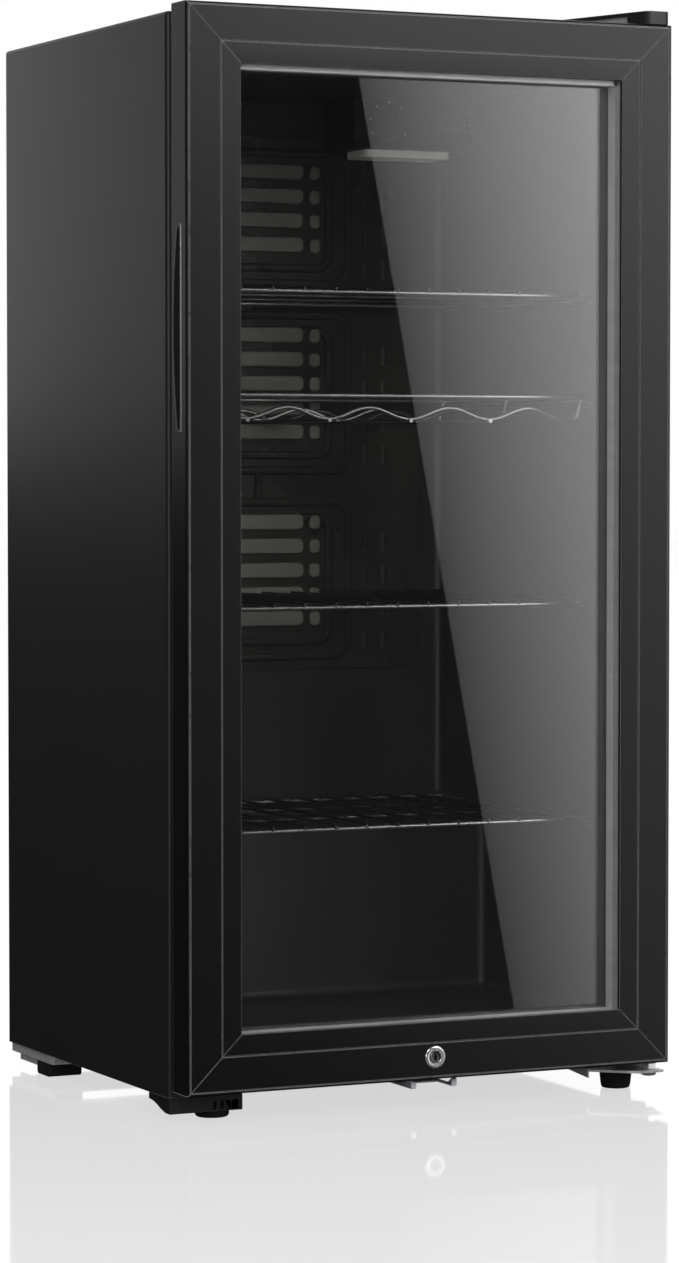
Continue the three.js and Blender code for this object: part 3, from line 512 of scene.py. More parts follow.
def pick(piece, test, kind="FACE"):
    """Selects the faces or edges for which test(middle in mm, normal or direction) holds, in edit mode."""
    alone(piece)
    bpy.ops.object.mode_set(mode="EDIT")
    bpy.ops.mesh.select_mode(type=kind)
    bpy.ops.mesh.select_all(action="DESELECT")
    mesh = bmesh.from_edit_mesh(piece.data)
    for part in mesh.faces if kind == "FACE" else mesh.edges:
        if kind == "FACE":
            middle, way = part.calc_center_median(), part.normal
        else:
            a, b = (v.co for v in part.verts)
            middle, way = (a + b) / 2, (b - a).normalized()
        if test(middle / MM, way):
            part.select_set(True)
    mesh.select_flush_mode()
    bmesh.update_edit_mesh(piece.data)


def round_edges(piece, test, width, steps=3):
    pick(piece, test, "EDGE")
    bpy.ops.mesh.bevel(offset=width * MM, segments=steps, affect="EDGES", clamp_overlap=True)
    leave()
    return piece


def rounded_block(name, low, high, axis, width, steps):
    """A box whose edges along one axis are rounded."""
    return round_edges(block(name, low, high), along(axis), width, steps)


def apply(piece, kind, **settings):
    """Adds one modifier, sets it and applies it."""
    alone(piece)
    step = piece.modifiers.new(kind.lower(), kind)
    for key, value in settings.items():
        setattr(step, key, value)
    bpy.ops.object.modifier_apply(modifier=step.name)
    return piece


def soften(piece, width=0.3, steps=2, angle=40):
    """Rounds every sharp edge a little, so that it catches the light."""
    return apply(
        piece, "BEVEL", width=width * MM, segments=steps, limit_method="ANGLE",
        angle_limit=math.radians(angle), harden_normals=False, miter_outer="MITER_ARC",
    )


def drill(piece, *cutters):
    """Takes each cutter's shape out of the piece."""
    for cutter in cutters:
        apply(piece, "BOOLEAN", operation="DIFFERENCE", solver="EXACT", object=cutter)
        bpy.data.objects.remove(cutter)
    return piece


def slice_off(piece, at, keep):
    """Cuts along a plane, keeps the side that `keep` points to, and closes the cut."""
    edit(piece)
    bpy.ops.mesh.bisect(plane_co=Vector(at) * MM, plane_no=keep, use_fill=True, clear_inner=True)
    leave()
    return piece


def lines(piece, test, cuts):
    """Draws straight cuts over the picked faces: each is a point and a normal."""
    for at, normal in cuts:
        pick(piece, test)
        bpy.ops.mesh.bisect(plane_co=Vector(at) * MM, plane_no=normal)
        leave()
    return piece


def push(piece, test, by, rim=0):
    """Insets the picked faces by rim, and extrudes them by a vector."""
    pick(piece, test)
    if rim:
        bpy.ops.mesh.inset(thickness=rim * MM)
    bpy.ops.mesh.extrude_region_move(TRANSFORM_OT_translate={"value": Vector(by) * MM})
    leave()
    return piece


def join(first, *others):
    alone(first)
    for other in others:
        other.select_set(True)
    bpy.ops.object.join()
    return first


# %% Spin, frame and wire
AXIS_TURN = {"Z": (0, 0, 0), "Y": (math.radians(-90), 0, 0), "X": (0, math.radians(90), 0)}


def turned(name, section, at, axis="Z", steps=32):
    """Spins a section of (radius, height) round an axis through a point."""
    piece = outline(name, [(r, 0, h) for r, h in section], filled=False)
    edit(piece)
    bpy.ops.mesh.spin(steps=steps, angle=2 * math.pi, center=(0, 0, 0), axis=(0, 0, 1))
    bpy.ops.mesh.select_all(action="SELECT")
    bpy.ops.mesh.remove_doubles(threshold=2e-6)
    bpy.ops.mesh.delete_loose(use_verts=True, use_edges=True, use_faces=False)
    leave()
    piece.rotation_euler = AXIS_TURN[axis]
    piece.location = Vector(at) * MM
    bpy.ops.object.transform_apply()
    return face_out(piece)


def picture_frame(name, section, left, right, low, high):
    """A closed mitred frame. The section is (distance in from the rectangle, y)."""
    count = len(section)
    spots = [
        [(x + sx * u, y, z + sz * u) for u, y in section]
        for x, sx, z, sz in (
            (left, 1, low, 1), (right, -1, low, 1), (right, -1, high, -1), (left, 1, high, -1),
        )
    ]
    piece = outline(name, spots[0], filled=False)
    for spot in spots[1:]:
        alone(piece)
        bpy.ops.object.mode_set(mode="EDIT")
        bpy.ops.mesh.select_mode(type="VERT")
        bpy.ops.mesh.select_all(action="DESELECT")
        mesh = bmesh.from_edit_mesh(piece.data)
        mesh.verts.ensure_lookup_table()
        for vertex in mesh.verts[-count:]:
            vertex.select_set(True)
        mesh.select_flush_mode()
        bpy.ops.mesh.extrude_region_move()
        leave()
        for vertex, corner in zip(list(piece.data.vertices)[-count:], spot):
            vertex.co = Vector(corner) * MM
    pick(piece, lambda m, w: False, "EDGE")
    mesh = bmesh.from_edit_mesh(piece.data)
    mesh.verts.ensure_lookup_table()
    for group in (mesh.verts[:count], mesh.verts[-count:]):
        for a in range(count):
            shared = set(group[a].link_edges) & set(group[(a + 1) % count].link_edges)
            for edge in shared:
                edge.select_set(True)
    bmesh.update_edit_mesh(piece.data)
    bpy.ops.mesh.bridge_edge_loops()
    leave()
    return face_out(piece)


def bend(corners, radius, steps=5):
    """Rounds the corners of a route to a bend radius."""
    points = [Vector(c) for c in corners]
    route = [points[0]]
    for before, here, after in zip(points, points[1:], points[2:]):
        back, on = before - here, after - here
        reach = min(radius, back.length / 2.02, on.length / 2.02)
        start, end = here + back.normalized() * reach, here + on.normalized() * reach
        for k in range(steps + 1):
            t = k / steps
            route.append(start * (1 - t) ** 2 + here * 2 * t * (1 - t) + end * t**2)
    return route + [points[-1]]


def wires(name, runs, radius, loops=(), detail=2):
    """Round wire along each open run and closed loop of points."""
    alone()
    bpy.ops.curve.primitive_nurbs_path_add(location=(0, 0, 0))
    piece = bpy.context.object
    piece.name = name
    shape = piece.data
    shape.splines.clear()
    for run in [*runs, *loops]:
        spline = shape.splines.new("POLY")
        spline.points.add(len(run) - 1)
        for point, spot in zip(spline.points, run):
            point.co = (*(Vector(spot) * MM), 1)
        spline.use_cyclic_u = run in loops
    shape.bevel_depth, shape.bevel_resolution, shape.use_fill_caps = radius * MM, detail, True
    bpy.ops.object.convert(target="MESH")
    return face_out(bpy.context.object)


def rounded(low, high, radius, plane="XZ", at=0.0, steps=4):
    """The corners of a rounded rectangle in a plane, anticlockwise."""
    (u0, v0), (u1, v1) = low, high
    points = []
    for cu, cv, start in (
        (u1 - radius, v1 - radius, 0), (u0 + radius, v1 - radius, 90),
        (u0 + radius, v0 + radius, 180), (u1 - radius, v0 + radius, 270),
    ):
        for k in range(steps + 1):
            turn = math.radians(start + 90 * k / steps)
            u, v = cu + radius * math.cos(turn), cv + radius * math.sin(turn)
            points.append({"XZ": (u, at, v), "XY": (u, v, at), "YZ": (at, u, v)}[plane])
    return points


# %% [markdown]
# ## Finishing a piece
# `done` smooths a piece by angle, keeps its wide flat faces flat in the light by weighting the normals
# towards them, gives it its finish, tells the frame which body carries it, and hides the solids it stands
# for. `copied` takes the mesh of a fixed solid as a starting block: its loose triangles are merged, flat
# regions are joined to whole faces, and then its edges can be rounded.


def done(piece, body, look, *nodes, angle=32):
    alone(piece)
    bpy.ops.object.shade_smooth_by_angle(angle=math.radians(angle))
    apply(piece, "WEIGHTED_NORMAL", weight=100, keep_sharp=True)
    piece.data.materials.clear()
    piece.data.materials.append(look)
    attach(piece, body)
    if nodes:
        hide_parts(*nodes)
    print(f"{piece.name}: {len(piece.data.polygons)} faces, rides on {body}")
    return piece


def copied(name, node):
    alone()
    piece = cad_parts[node].copy()
    piece.data = piece.data.copy()
    for key in list(piece.keys()):
        del piece[key]
    piece.parent = None
    piece.name = name
    bpy.context.scene.collection.objects.link(piece)
    edit(piece)
    bpy.ops.mesh.remove_doubles(threshold=5e-6)
    bpy.ops.mesh.dissolve_limited(angle_limit=math.radians(1))
    leave()
    return piece


def again(piece, name, by):
    """A copy with its own mesh, moved by a vector."""
    alone()
    twin = piece.copy()
    twin.data = piece.data.copy()
    for key in list(twin.keys()):
        del twin[key]
    twin.parent = None
    twin.name = name
    bpy.context.scene.collection.objects.link(twin)
    twin.location = Vector(by) * MM
    alone(twin)
    bpy.ops.object.transform_apply()
    return twin


# %% [markdown]
# ## Cabinet wrap
# One steel sheet is folded over both sides and the top, with its front edges rolled to a narrow flange.
# Pressing is done here in the same order: a box loses its open faces, its long edges get the bend radius,
# and Solidify gives the sheet its millimetre.

# %% Cabinet wrap
HALF, FRONT, BACK, LOW, HIGH = 225, -161, 203, 20, 908
wrap = block("cabinet_wrap", (-HALF, FRONT, LOW), (HALF, BACK, HIGH))
lines(
    wrap, lambda m, w: w.y < -0.9,
    [((-197, 0, 0), (1, 0, 0)), ((197, 0, 0), (1, 0, 0)), ((0, 0, 880), (0, 0, 1))],
)
pick(wrap, lambda m, w: w.y > 0.9 or w.z < -0.9 or (w.y < -0.9 and abs(m.x) < 190 and m.z < 870))
bpy.ops.mesh.delete(type="FACE")
leave()


def wrap_bend(m, w):
    upright = abs(w.z) > 0.9 and abs(m.x) > 224 and m.y < -160
    lengthwise = abs(w.y) > 0.9 and m.z > 907 and abs(m.x) > 224
    across = abs(w.x) > 0.9 and m.z > 907 and m.y < -160
    return upright or lengthwise or across


round_edges(wrap, wrap_bend, 3.5, 4)
apply(wrap, "SOLIDIFY", thickness=1 * MM, offset=-1.0, use_even_offset=True)
done(wrap, "cabinet", cabinet_paint, "cabinet_shell")

# %% [markdown]
# ## Back panel
# A flat sheet closes the back. Pressed grooves stop it from drumming, and screws hold it round its edge.

# %% Back panel
panel = block("back_sheet", (-223.5, 202, 186.7), (223.5, 203, 906.5))
round_edges(panel, lambda m, w: abs(w.y) > 0.9 and m.z > 900 and abs(m.x) > 220, 3.5, 4)
GROOVES, GROOVE_LOW, GROOVE_HIGH = range(-150, 151, 60), 250, 845
lines(
    panel, lambda m, w: w.y > 0.9,
    [((x + side, 0, 0), (1, 0, 0)) for x in GROOVES for side in (-6, 6)]
    + [((0, 0, z), (0, 0, 1)) for z in (GROOVE_LOW, GROOVE_HIGH)],
)


def in_groove(m, w):
    return w.y > 0.9 and GROOVE_LOW < m.z < GROOVE_HIGH and any(abs(m.x - x) < 3 for x in GROOVES)


push(panel, in_groove, (0, -0.7, 0), rim=1.6)
soften(panel, 0.3, 2, 20)
done(panel, "cabinet", cabinet_paint, "back_panel")
screw = turned(
    "back_screw_1", [(0, 1.5), (1.8, 1.45), (3.2, 1.0), (3.8, 0.2), (3.8, -0.4), (0, -0.4)],
    (-214, 203, 196), "Y", 20,
)
drill(
    screw, block("slot_a", (-216, 204, 195.6), (-212, 206, 196.4)),
    block("slot_b", (-214.4, 204, 194), (-213.6, 206, 198)),
)
SPOTS = [(side * 214, z) for side in (-1, 1) for z in (196, 430, 665, 896)]
SPOTS += [(-107, 196), (107, 196), (-107, 899), (107, 899)]
for number, (x, z) in enumerate(SPOTS, 1):
    one = screw if number == 1 else again(screw, f"back_screw_{number}", (x + 214, 0, z - 196))
    if number > 1:
        done(one, "cabinet", zinc_steel)
done(screw, "cabinet", zinc_steel)

# %% [markdown]
# ## Liner
# The inside is one sheet of black styrene, drawn over a mould: rounded corners, a step over the compressor,
# and a ledge under each shelf. The outline is pulled across, its inner edges rounded, and the ledges pushed
# out of the side walls. Solidify then gives the wall its thickness outwards.

# %% Liner
LEDGES = {"top": 684.5, "rack": 597.5, "middle": 419.5, "lower": 232.5}
STEP_Y, STEP_Z = 72, 215
TUB_SIDE = ((-161, 63), (STEP_Y, 63), (STEP_Y, STEP_Z), (160, STEP_Z), (160, 870), (-161, 870))
tub = outline("liner_tub", [(-187, y, z) for y, z in TUB_SIDE])
pull(tub, (374, 0, 0))
pick(tub, lambda m, w: w.y < -0.9 and m.y < -160)
bpy.ops.mesh.delete(type="FACE")
leave()


def on_step(m, w):
    return abs(w.x) > 0.9 and abs(m.y - STEP_Y) < 1 and abs(m.z - STEP_Z) < 1


round_edges(tub, lambda m, w: m.y > -160 and not on_step(m, w), 8, 5)
round_edges(tub, on_step, 6, 4)
LEDGE_FRONT, LEDGE_BACK, LEDGE_LOW, LEDGE_HIGH = -130, 147, -7.2, -2.9
cuts = [((0, y, 0), (0, 1, 0)) for y in (LEDGE_FRONT, LEDGE_BACK)]
for z in LEDGES.values():
    cuts += [((0, 0, z + LEDGE_LOW), (0, 0, 1)), ((0, 0, z + LEDGE_HIGH), (0, 0, 1))]


def on_side(m, w):
    return abs(w.x) > 0.99 and abs(m.x) > 186.5


def on_ledge(m, w):
    level = any(LEDGE_LOW < m.z - z < LEDGE_HIGH for z in LEDGES.values())
    return on_side(m, w) and LEDGE_FRONT < m.y < LEDGE_BACK and level


lines(tub, on_side, cuts)
for side in (-1, 1):
    push(tub, lambda m, w: on_ledge(m, w) and m.x * side > 0, (-5.3 * side, 0, 0))
edit(tub)
bpy.ops.mesh.normals_make_consistent(inside=True)
leave()
soften(tub, 1.2, 3, 40)
apply(tub, "SOLIDIFY", thickness=1.4 * MM, offset=-1.0)
lip = picture_frame(
    "liner_lip",
    [(0, -159.6), (0, -161), (9.2, -161), (10.4, -160.2), (10.4, -157), (9.6, -157), (9.6, -159.6)], -196.6,
    196.6, 53.4, 879.6,
)
join(tub, lip)
done(tub, "cabinet", liner_plastic, "inner_liner")

# %% [markdown]
# ## Evaporator
# Cold comes from a flat plate on the back wall, with flattened channels bonded under its skin. The channels
# run as nested rounded rectangles in three blocks, with short pads in their middle. A round wire on the
# route, squeezed flat against the plate, gives the soft pillowed section. The pads are shaded lighter than
# the plate: a painted highlight for the light that their flat faces catch.


# %% Evaporator
def flatten(piece, level, keep):
    """Squeezes a piece along Y towards a level."""
    edit(piece)
    bpy.ops.transform.resize(value=(1, keep, 1), center_override=(0, level * MM, 0))
    leave()
    return piece


PLATE_Y = 157.4
plate = rounded_block("evaporator_sheet", (-165, PLATE_Y, 352), (165, 159, 836), "y", 14, 5)
soften(plate, 0.5, 2, 50)


def channel(name, radius, runs=(), loops=()):
    """Wire on the plate, squeezed flat against it."""
    return flatten(wires(name, runs, radius, loops, 3), PLATE_Y, 0.8)


parts, raised = [], []
for base in (364, 534, 704):
    top = base + (118 if base == 704 else 141)
    rings = [
        rounded((-reach, base + shrink), (reach, top - shrink), turn, "XZ", PLATE_Y)
        for reach, shrink, turn in ((90, 0, 16), (70, 14, 12))
    ]
    parts.append(channel(f"rings_{base}", 4.2, [], rings))
    for z in range(base + 28, top - 20, 22):
        pad = rounded_block(f"pad_{base}_{z}", (-44, 153.4, z), (44, 158, z + 14), "y", 5, 4)
        raised.append(soften(pad, 1.6, 3, 30))
        knob = rounded_block(f"knob_{base}_{z}", (50, 153.8, z), (61, 158, z + 13), "y", 4, 4)
        raised.append(soften(knob, 1.6, 3, 30))
        raised.append(again(knob, f"knob_left_{base}_{z}", (-111, 0, 0)))
    lows = range(base + 6, top - 20, 30)
    bars = [[(x, PLATE_Y, z), (x, PLATE_Y, z + 16)] for x in (108, 127, -108, -127) for z in lows]
    parts.append(channel(f"bars_{base}", 3.2, bars))
    stem = [(0, PLATE_Y, base - 26), (0, PLATE_Y, base)]
    if base == 364:
        stem = [(-150, PLATE_Y, base), (-150, PLATE_Y, 790)]
    parts.append(channel(f"stem_{base}", 4.2, [stem]))
pads = join(*raised)
pads.name = "evaporator_pads"
# The pads' lighter shade is a painted highlight.
done(pads, "cabinet", painted_highlight_pads)
join(plate, *parts)
done(plate, "cabinet", lacquered_plate, "evaporator_plate")

# %% [markdown]
# ## Shelves
# The shelves are welded wire. A rim runs round each, two rails cross it, and thinner wires lie on top and
# hook over its front edge, which leaves a row of small bumps. One shelf is bent, then copied twice. The rim
# is a bright metal while the cross wires are black: its lighter shade is a painted highlight for the line of
# light along its front.

# %% Shelves
RIM_X, RIM_FRONT, RIM_BACK = 183.5, -126.5, 146
CROSS = [-174 + 29 * k for k in range(13)]
z = LEDGES["top"]
rim = wires("shelf_1", [], 2.3, [rounded((-RIM_X, RIM_FRONT), (RIM_X, RIM_BACK), 7, "XY", z)], 3)
over, face = z + 3.4, RIM_FRONT - 2.2
hooks = [bend([(x, RIM_BACK + 1.5, over), (x, face, over), (x, face, z + 0.4)], 2.2) for x in CROSS]
cross = wires("shelf_wires_1", hooks, 1.4)
rails = wires("rails", [[(-RIM_X, y, z + 0.2), (RIM_X, y, z + 0.2)] for y in (-30, 60)], 2, (), 3)
join(cross, rails)
for number, (body, level) in enumerate((("shelf_middle", "middle"), ("shelf_lower", "lower")), 2):
    drop = (0, 0, LEDGES[level] - z)
    done(again(rim, f"shelf_{number}", drop), body, painted_highlight_wire, body, angle=60)
    done(again(cross, f"shelf_wires_{number}", drop), body, dark_wire, angle=60)
done(rim, "shelf_top", painted_highlight_wire, "shelf_top", angle=60)
done(cross, "shelf_top", dark_wire, angle=60)

# %% [markdown]
# ## Wine rack
# The second shelf is a rack: waved wires with a trough for each bottle, hung in a rim like that of a shelf.

# %% Wine rack
z = LEDGES["rack"]
rack = wires("bottle_rack", [], 2.3, [rounded((-RIM_X, RIM_FRONT), (RIM_X, RIM_BACK), 7, "XY", z)], 3)
waves = []
for y in (RIM_FRONT + 5, 16, RIM_BACK - 6):
    wave = [(-RIM_X, y, z), (-180, y, z - 1.5)]
    wave += [(x, y, z - 14.6 + 4.8 * math.cos(2 * math.pi * (x + 24) / 76)) for x in range(-176, 177, 4)]
    waves.append(wave + [(180, y, z - 1.5), (RIM_X, y, z)])
TROUGH, MIDDLE, KEEL_Z = 76, -24, z - 20.6
crests = [MIDDLE + TROUGH * k for k in (-1.5, -0.5, 0.5, 1.5)]
keels = [[(x, RIM_FRONT + 1, KEEL_Z), (x, RIM_BACK - 2, KEEL_Z)] for x in crests]
join(rack, wires("waves", waves, 1.9, (), 3), wires("keels", keels, 1.8, (), 3))
done(rack, "wine_rack", painted_highlight_wire, "wine_rack", angle=60)

# %% [markdown]
# ## Door frame
# Four lengths of black trim are mitred at the corners. The section carries what the eye reads as fine
# lines: a rolled front edge with a groove beside it, and a second groove where the flat band meets the
# sloping bezel round the glass. Each length is the section pulled along a side and cut at 45 degrees, with
# a hair of a gap.

# %% Door frame
DOOR_FRONT, DOOR_LOW, DOOR_HIGH = -201.5, 26.5, 912.5
SECTION = [
    (0, 2.4), (0.25, 1.3), (0.8, 0.45), (1.5, 0.05), (2.2, 0), (2.35, 0.8), (2.85, 0.8), (3.1, 0),
    (30.0, 0), (30.3, 0.25), (30.45, 1.2), (31.35, 1.2), (31.5, 0.55), (31.9, 0.35), (47.7, 0.4),
    (48.3, 0.7), (48.5, 1.4), (48.5, 4), (36.3, 4), (36.3, 31), (0.8, 31), (0, 30.2),
]


def frame_length(name, side):
    level = side in ("top", "bottom")
    start = -HALF - 5 if level else DOOR_LOW - 5
    spots = {
        "top": lambda u, t: (start, DOOR_FRONT + t, DOOR_HIGH - u),
        "bottom": lambda u, t: (start, DOOR_FRONT + t, DOOR_LOW + u),
        "left": lambda u, t: (-HALF + u, DOOR_FRONT + t, start),
        "right": lambda u, t: (HALF - u, DOOR_FRONT + t, start),
    }
    piece = outline(name, [spots[side](u, t) for u, t in SECTION])
    pull(piece, (2 * HALF + 10, 0, 0) if level else (0, 0, DOOR_HIGH - DOOR_LOW + 10))
    gap = 0.12
    for sx in (-1, 1) if level else ((-1,) if side == "left" else (1,)):
        for sz in ((1,) if side == "top" else (-1,)) if level else (-1, 1):
            corner = (sx * HALF, 0, DOOR_HIGH if sz > 0 else DOOR_LOW)
            keep = (-sx, 0, sz) if level else (sx, 0, -sz)
            corner = (corner[0] - sx * gap, 0, corner[2]) if level else (corner[0], 0, corner[2] - sz * gap)
            slice_off(piece, corner, keep)
    round_edges(piece, lambda m, w: 0.5 < abs(w.x) < 0.9 and 0.5 < abs(w.z) < 0.9 and m.y < -200, 0.3, 2)
    return face_out(piece)


top_rail = frame_length("frame_top", "top")
left_stile = frame_length("frame_left", "left")
right_stile = frame_length("frame_right", "right")
bottom_rail = frame_length("frame_bottom", "bottom")
print("door frame: 4 lengths,", len(SECTION), "corners in the section")

# %% [markdown]
# ## Handle
# There is no bar handle. A finger pocket is let into the side of the left stile, with a bright strip along
# its front edge. The pocket is a lens-shaped cup: its outline is pulled inwards, then inset and pushed in.


# %% Handle
def pocket(shrink):
    """The lens outline of the finger pocket, in the plane of the door's side."""
    middle, half, front = 650, 82 - shrink * 3, -187.6 + shrink
    bow = [(-HALF, -182 + 8.4 * (1 - (s / 12) ** 2) - shrink, middle + half * s / 12) for s in range(-12, 13)]
    return [(-HALF, front, middle - half), *bow, (-HALF, front, middle + half)]


cup = pull(outline("handle_pocket", pocket(0)), (19.2, 0, 0))
push(cup, lambda m, w: w.x < -0.9 and m.x < -224, (17.6, 0, 0), rim=0.9)
soften(cup, 0.35, 2, 50)
done(cup, "door", moulded_plastic, "handle_cup")
strip = rounded_block("handle_strip", (-HALF, -190.8, 566.7), (-215, -188.1, 734.2), "x", 0.8, 3)
soften(strip, 0.5, 3, 40)
done(strip, "door", chrome, "handle_trim")
drill(
    left_stile,
    pull(outline("cup_room", [(x - 1, y, z) for x, y, z in pocket(-0.3)]), (20.6, 0, 0)),
    block("strip_room", (-226, -191.1, 566.4), (-214.6, -187.2, 734.5)),
)
done(left_stile, "door", door_paint, "door_stile_left")

# %% [markdown]
# ## Hinge bushes and the other frame lengths
# A plastic bush in each right-hand corner turns on a pin. The frame is drilled for it, and for the lock.

# %% Hinge bushes and frame lengths
PIN_X, PIN_Y, LOCK_Z = 213.5, -186.5, 45.5


def drum(name, at, radius, length, axis="Z", steps=32):
    """A plain round cutter."""
    return turned(name, [(0, 0), (radius, 0), (radius, length), (0, length)], at, axis, steps)


for piece, spots in ((right_stile, (25.5, 898.2)), (top_rail, (898.2,)), (bottom_rail, (25.5,))):
    drill(piece, *(drum(f"bush_hole_{z}", (PIN_X, PIN_Y, z), 5.3, 15.3) for z in spots))
drill(
    bottom_rail, drum("lock_hole", (0, -202.5, LOCK_Z), 8, 15, "Y", 40),
    block("cam_room", (-7.6, -189.8, 25.5), (27, -183.6, LOCK_Z + 7.6)),
)
done(top_rail, "door", door_paint, "door_rail_top")
done(right_stile, "door", door_paint, "door_stile_right")
done(bottom_rail, "door", door_paint, "door_rail_bottom")
for name, node, z in (
    ("bush_upper", "upper_hinge_bush", 898.5), ("bush_lower", "lower_hinge_bush", 26.8),
):
    bush = turned(
        name, [(3.5, 0), (4.6, 0), (5, 0.5), (5, 13.1), (4.6, 13.6), (3.5, 13.6)], (PIN_X, PIN_Y, z), "Z",
        40,
    )
    done(bush, "door", moulded_plastic, node)


# %% [markdown]
# ## Panes, spacer, inner frame and seal
# The sealed unit is two panes on a dark metal spacer with a dotted desiccant slot. An inner plastic frame
# holds it, and a magnetic bellows seal goes round behind. Each ring is one section swept round a mitred
# rectangle.


# %% Panes
def pane(name, node, depth, look):
    sheet = rounded_block(
        name, (-188, DOOR_FRONT + depth, 63.5), (188, DOOR_FRONT + depth + 4, 875.5), "y", 2, 3,
    )
    soften(sheet, 0.4, 2, 60)
    done(sheet, "door", look, node)


pane("pane_outer", "outer_glass", 4.3, outer_pane_glass)
pane("pane_inner", "inner_glass", 20.9, inner_pane_glass)


def door_ring(name, section):
    """A frame swept round the door; its section's depth is measured from the door's face."""
    depths = [(u, DOOR_FRONT + t) for u, t in section]
    return picture_frame(name, depths, -HALF, HALF, DOOR_LOW, DOOR_HIGH)


spacer = door_ring(
    "pane_spacer",
    [
        (37.5, 8.6), (48.3, 8.6), (48.5, 9.2), (48.5, 13.6), (47.6, 14), (47.6, 15.2), (48.5, 15.6),
        (48.5, 20), (48.3, 20.6), (37.5, 20.6),
    ],
)
SIGHTS = ((-176.5, 859.6, 176.5, 864.2), (173.6, 75, 176.7, 864), (-176.7, 75, -175.6, 864))
for number, (left, low, right, high) in enumerate(SIGHTS):
    sight = block(f"sight_{number}", (left, -192.6, low), (right, -181.2, high))
    join(spacer, soften(sight))
done(spacer, "door", spacer_metal, "glass_spacer")
inner = door_ring(
    "frame_inner",
    [
        (36.9, 25.2), (47.8, 25.2), (48.5, 25.9), (48.5, 34.4), (47.2, 35.8), (33, 35.8), (32, 34.8),
        (30.6, 34.8), (29.8, 35.8), (12.4, 35.8), (11.8, 34.6), (10.6, 34.6), (10, 35.8), (4, 35.8),
        (3, 34.9), (3, 31.4), (36.9, 31.4),
    ],
)
done(inner, "door", moulded_plastic, "door_inner_frame")
seal = door_ring(
    "bellows_seal",
    [
        (12.6, 36.2), (27.4, 36.2), (28, 36.9), (27.2, 37.7), (29.2, 38.2), (29.8, 39), (29.4, 39.9),
        (28.2, 40.2), (14, 40.2), (12.4, 39.6), (12.2, 38.9), (13, 38.3), (14.8, 38), (13.2, 37.4),
        (12.2, 36.9),
    ],
)
done(seal, "door", rubber, "door_gasket")

# %% [markdown]
# ## Lock
# A round cam lock sits in the bottom rail. Its bright ring has a stepped face, the plug has a raised rim
# and a key slot, and the cam behind it turns down to a strike under the cabinet. The ring and the plug are
# turned from sections, the cam is a pulled outline, and the strike is a copy of its solid cut to two hooks.

# %% Lock
barrel = turned(
    "lock_ring",
    [
        (5.06, 11.8), (5.06, 0.9), (5.5, 0.5), (6.6, 0.5), (6.9, 0.1), (7.6, 0), (8.6, 0.1), (9.3, 0.6),
        (9.5, 1.15), (7.6, 1.2), (7.6, 12.4), (6.6, 12.4),
    ],
    (0, -203, LOCK_Z), "Y", 48,
)
done(barrel, "door", chrome, "lock_barrel")
plug = turned(
    "lock_core",
    [(0, 0.5), (2.9, 0.5), (3.3, 0.1), (4.5, 0), (4.96, 0.4), (4.96, 14.9), (4.5, 15.4), (0, 15.4)],
    (0, -202.7, LOCK_Z), "Y", 40,
)
cam = outline(
    "cam", [(x, -188.2, LOCK_Z + z) for x, z in ((-4.9, -5), (21, -4), (24.7, -1), (24.7, 4), (-4.9, 5))],
)
soften(pull(cam, (0, 3, 0)), 0.4, 2, 35)
drill(
    plug, block("key_slot", (-0.7, -204, LOCK_Z - 3.2), (0.7, -198.5, LOCK_Z + 3.2)),
    block("key_bit", (-1.4, -204, LOCK_Z - 1), (1.4, -200, LOCK_Z + 1)),
)
done(join(plug, cam), "lock_plug", dark_wire, "lock_plug")
strike = drill(copied("strike", "lock_strike"), block("hook_gap", (-13, -193, 17), (20, -166, 26)))
done(soften(strike), "cabinet", zinc_steel, "lock_strike")
for name, node in (("hinge_arm_lower", "lower_hinge_bracket"), ("hinge_arm_upper", "top_hinge_bracket")):
    done(soften(copied(name, node)), "cabinet", zinc_steel, node)


# %% [markdown]
# ## Hinge pins, nut, screws and cover
# The pins have a domed head, the lower one is locked by a hex nut, and cross-slot screws hold the arms.
# Over the upper hinge clips a moulded cover with a rounded cap.


# %% Hinge hardware
def slotted(name, x, y, z, up):
    """A pan-head screw with a cross slot, head down or up."""
    head = [(0, 2.5), (1.6, 2.45), (3.2, 2.0), (4.1, 0.9), (4.2, 0), (2.1, 0), (2.1, -2), (0, -2)]
    section = head if up else [(r, -h) for r, h in head]
    part = turned(name, section, (x, y, z), "Z", 28)
    reach = (1, 4) if up else (-4, -1)
    for a, b in ((2.2, 0.4), (0.4, 2.2)):
        drill(part, block("slot", (x - a, y - b, z + reach[0]), (x + a, y + b, z + reach[1])))
    return part


for name, node, x, y, z, up in (
    ("screw_low_1", "lower_hinge_screw_1", 177, -118, 17.4, False),
    ("screw_low_2", "lower_hinge_screw_2", 212, -118, 17.4, False),
    ("screw_top_1", "top_hinge_screw_1", 190, -100, 910.4, True),
    ("screw_top_2", "top_hinge_screw_2", 208, -124, 910.4, True),
):
    done(slotted(name, x, y, z, up), "cabinet", zinc_steel, node)
low_pin = turned(
    "pin_lower",
    [
        (0, 0), (4.6, 0), (6.1, 0.6), (6.5, 1.4), (6.5, 3.2), (3.45, 3.2), (3.45, 23.6), (2.8, 24.3),
        (0, 24.3),
    ],
    (PIN_X, PIN_Y, 14.2), "Z", 36,
)
done(low_pin, "cabinet", chrome, "lower_hinge_pin")
high_pin = turned(
    "pin_upper",
    [(0, 0), (2.8, 0), (3.45, 0.7), (3.45, 15.2), (6, 15.2), (6, 16.6), (5.2, 17.5), (0, 17.8)],
    (PIN_X, PIN_Y, 900.5), "Z", 36,
)
done(high_pin, "cabinet", chrome, "top_hinge_pin")
nut = turned(
    "nut_lower", [(3.56, 0), (6.4, 0), (7, 0.5), (7, 4.9), (6.4, 5.4), (3.56, 5.4)], (PIN_X, PIN_Y, 20),
    "Z", 6,
)
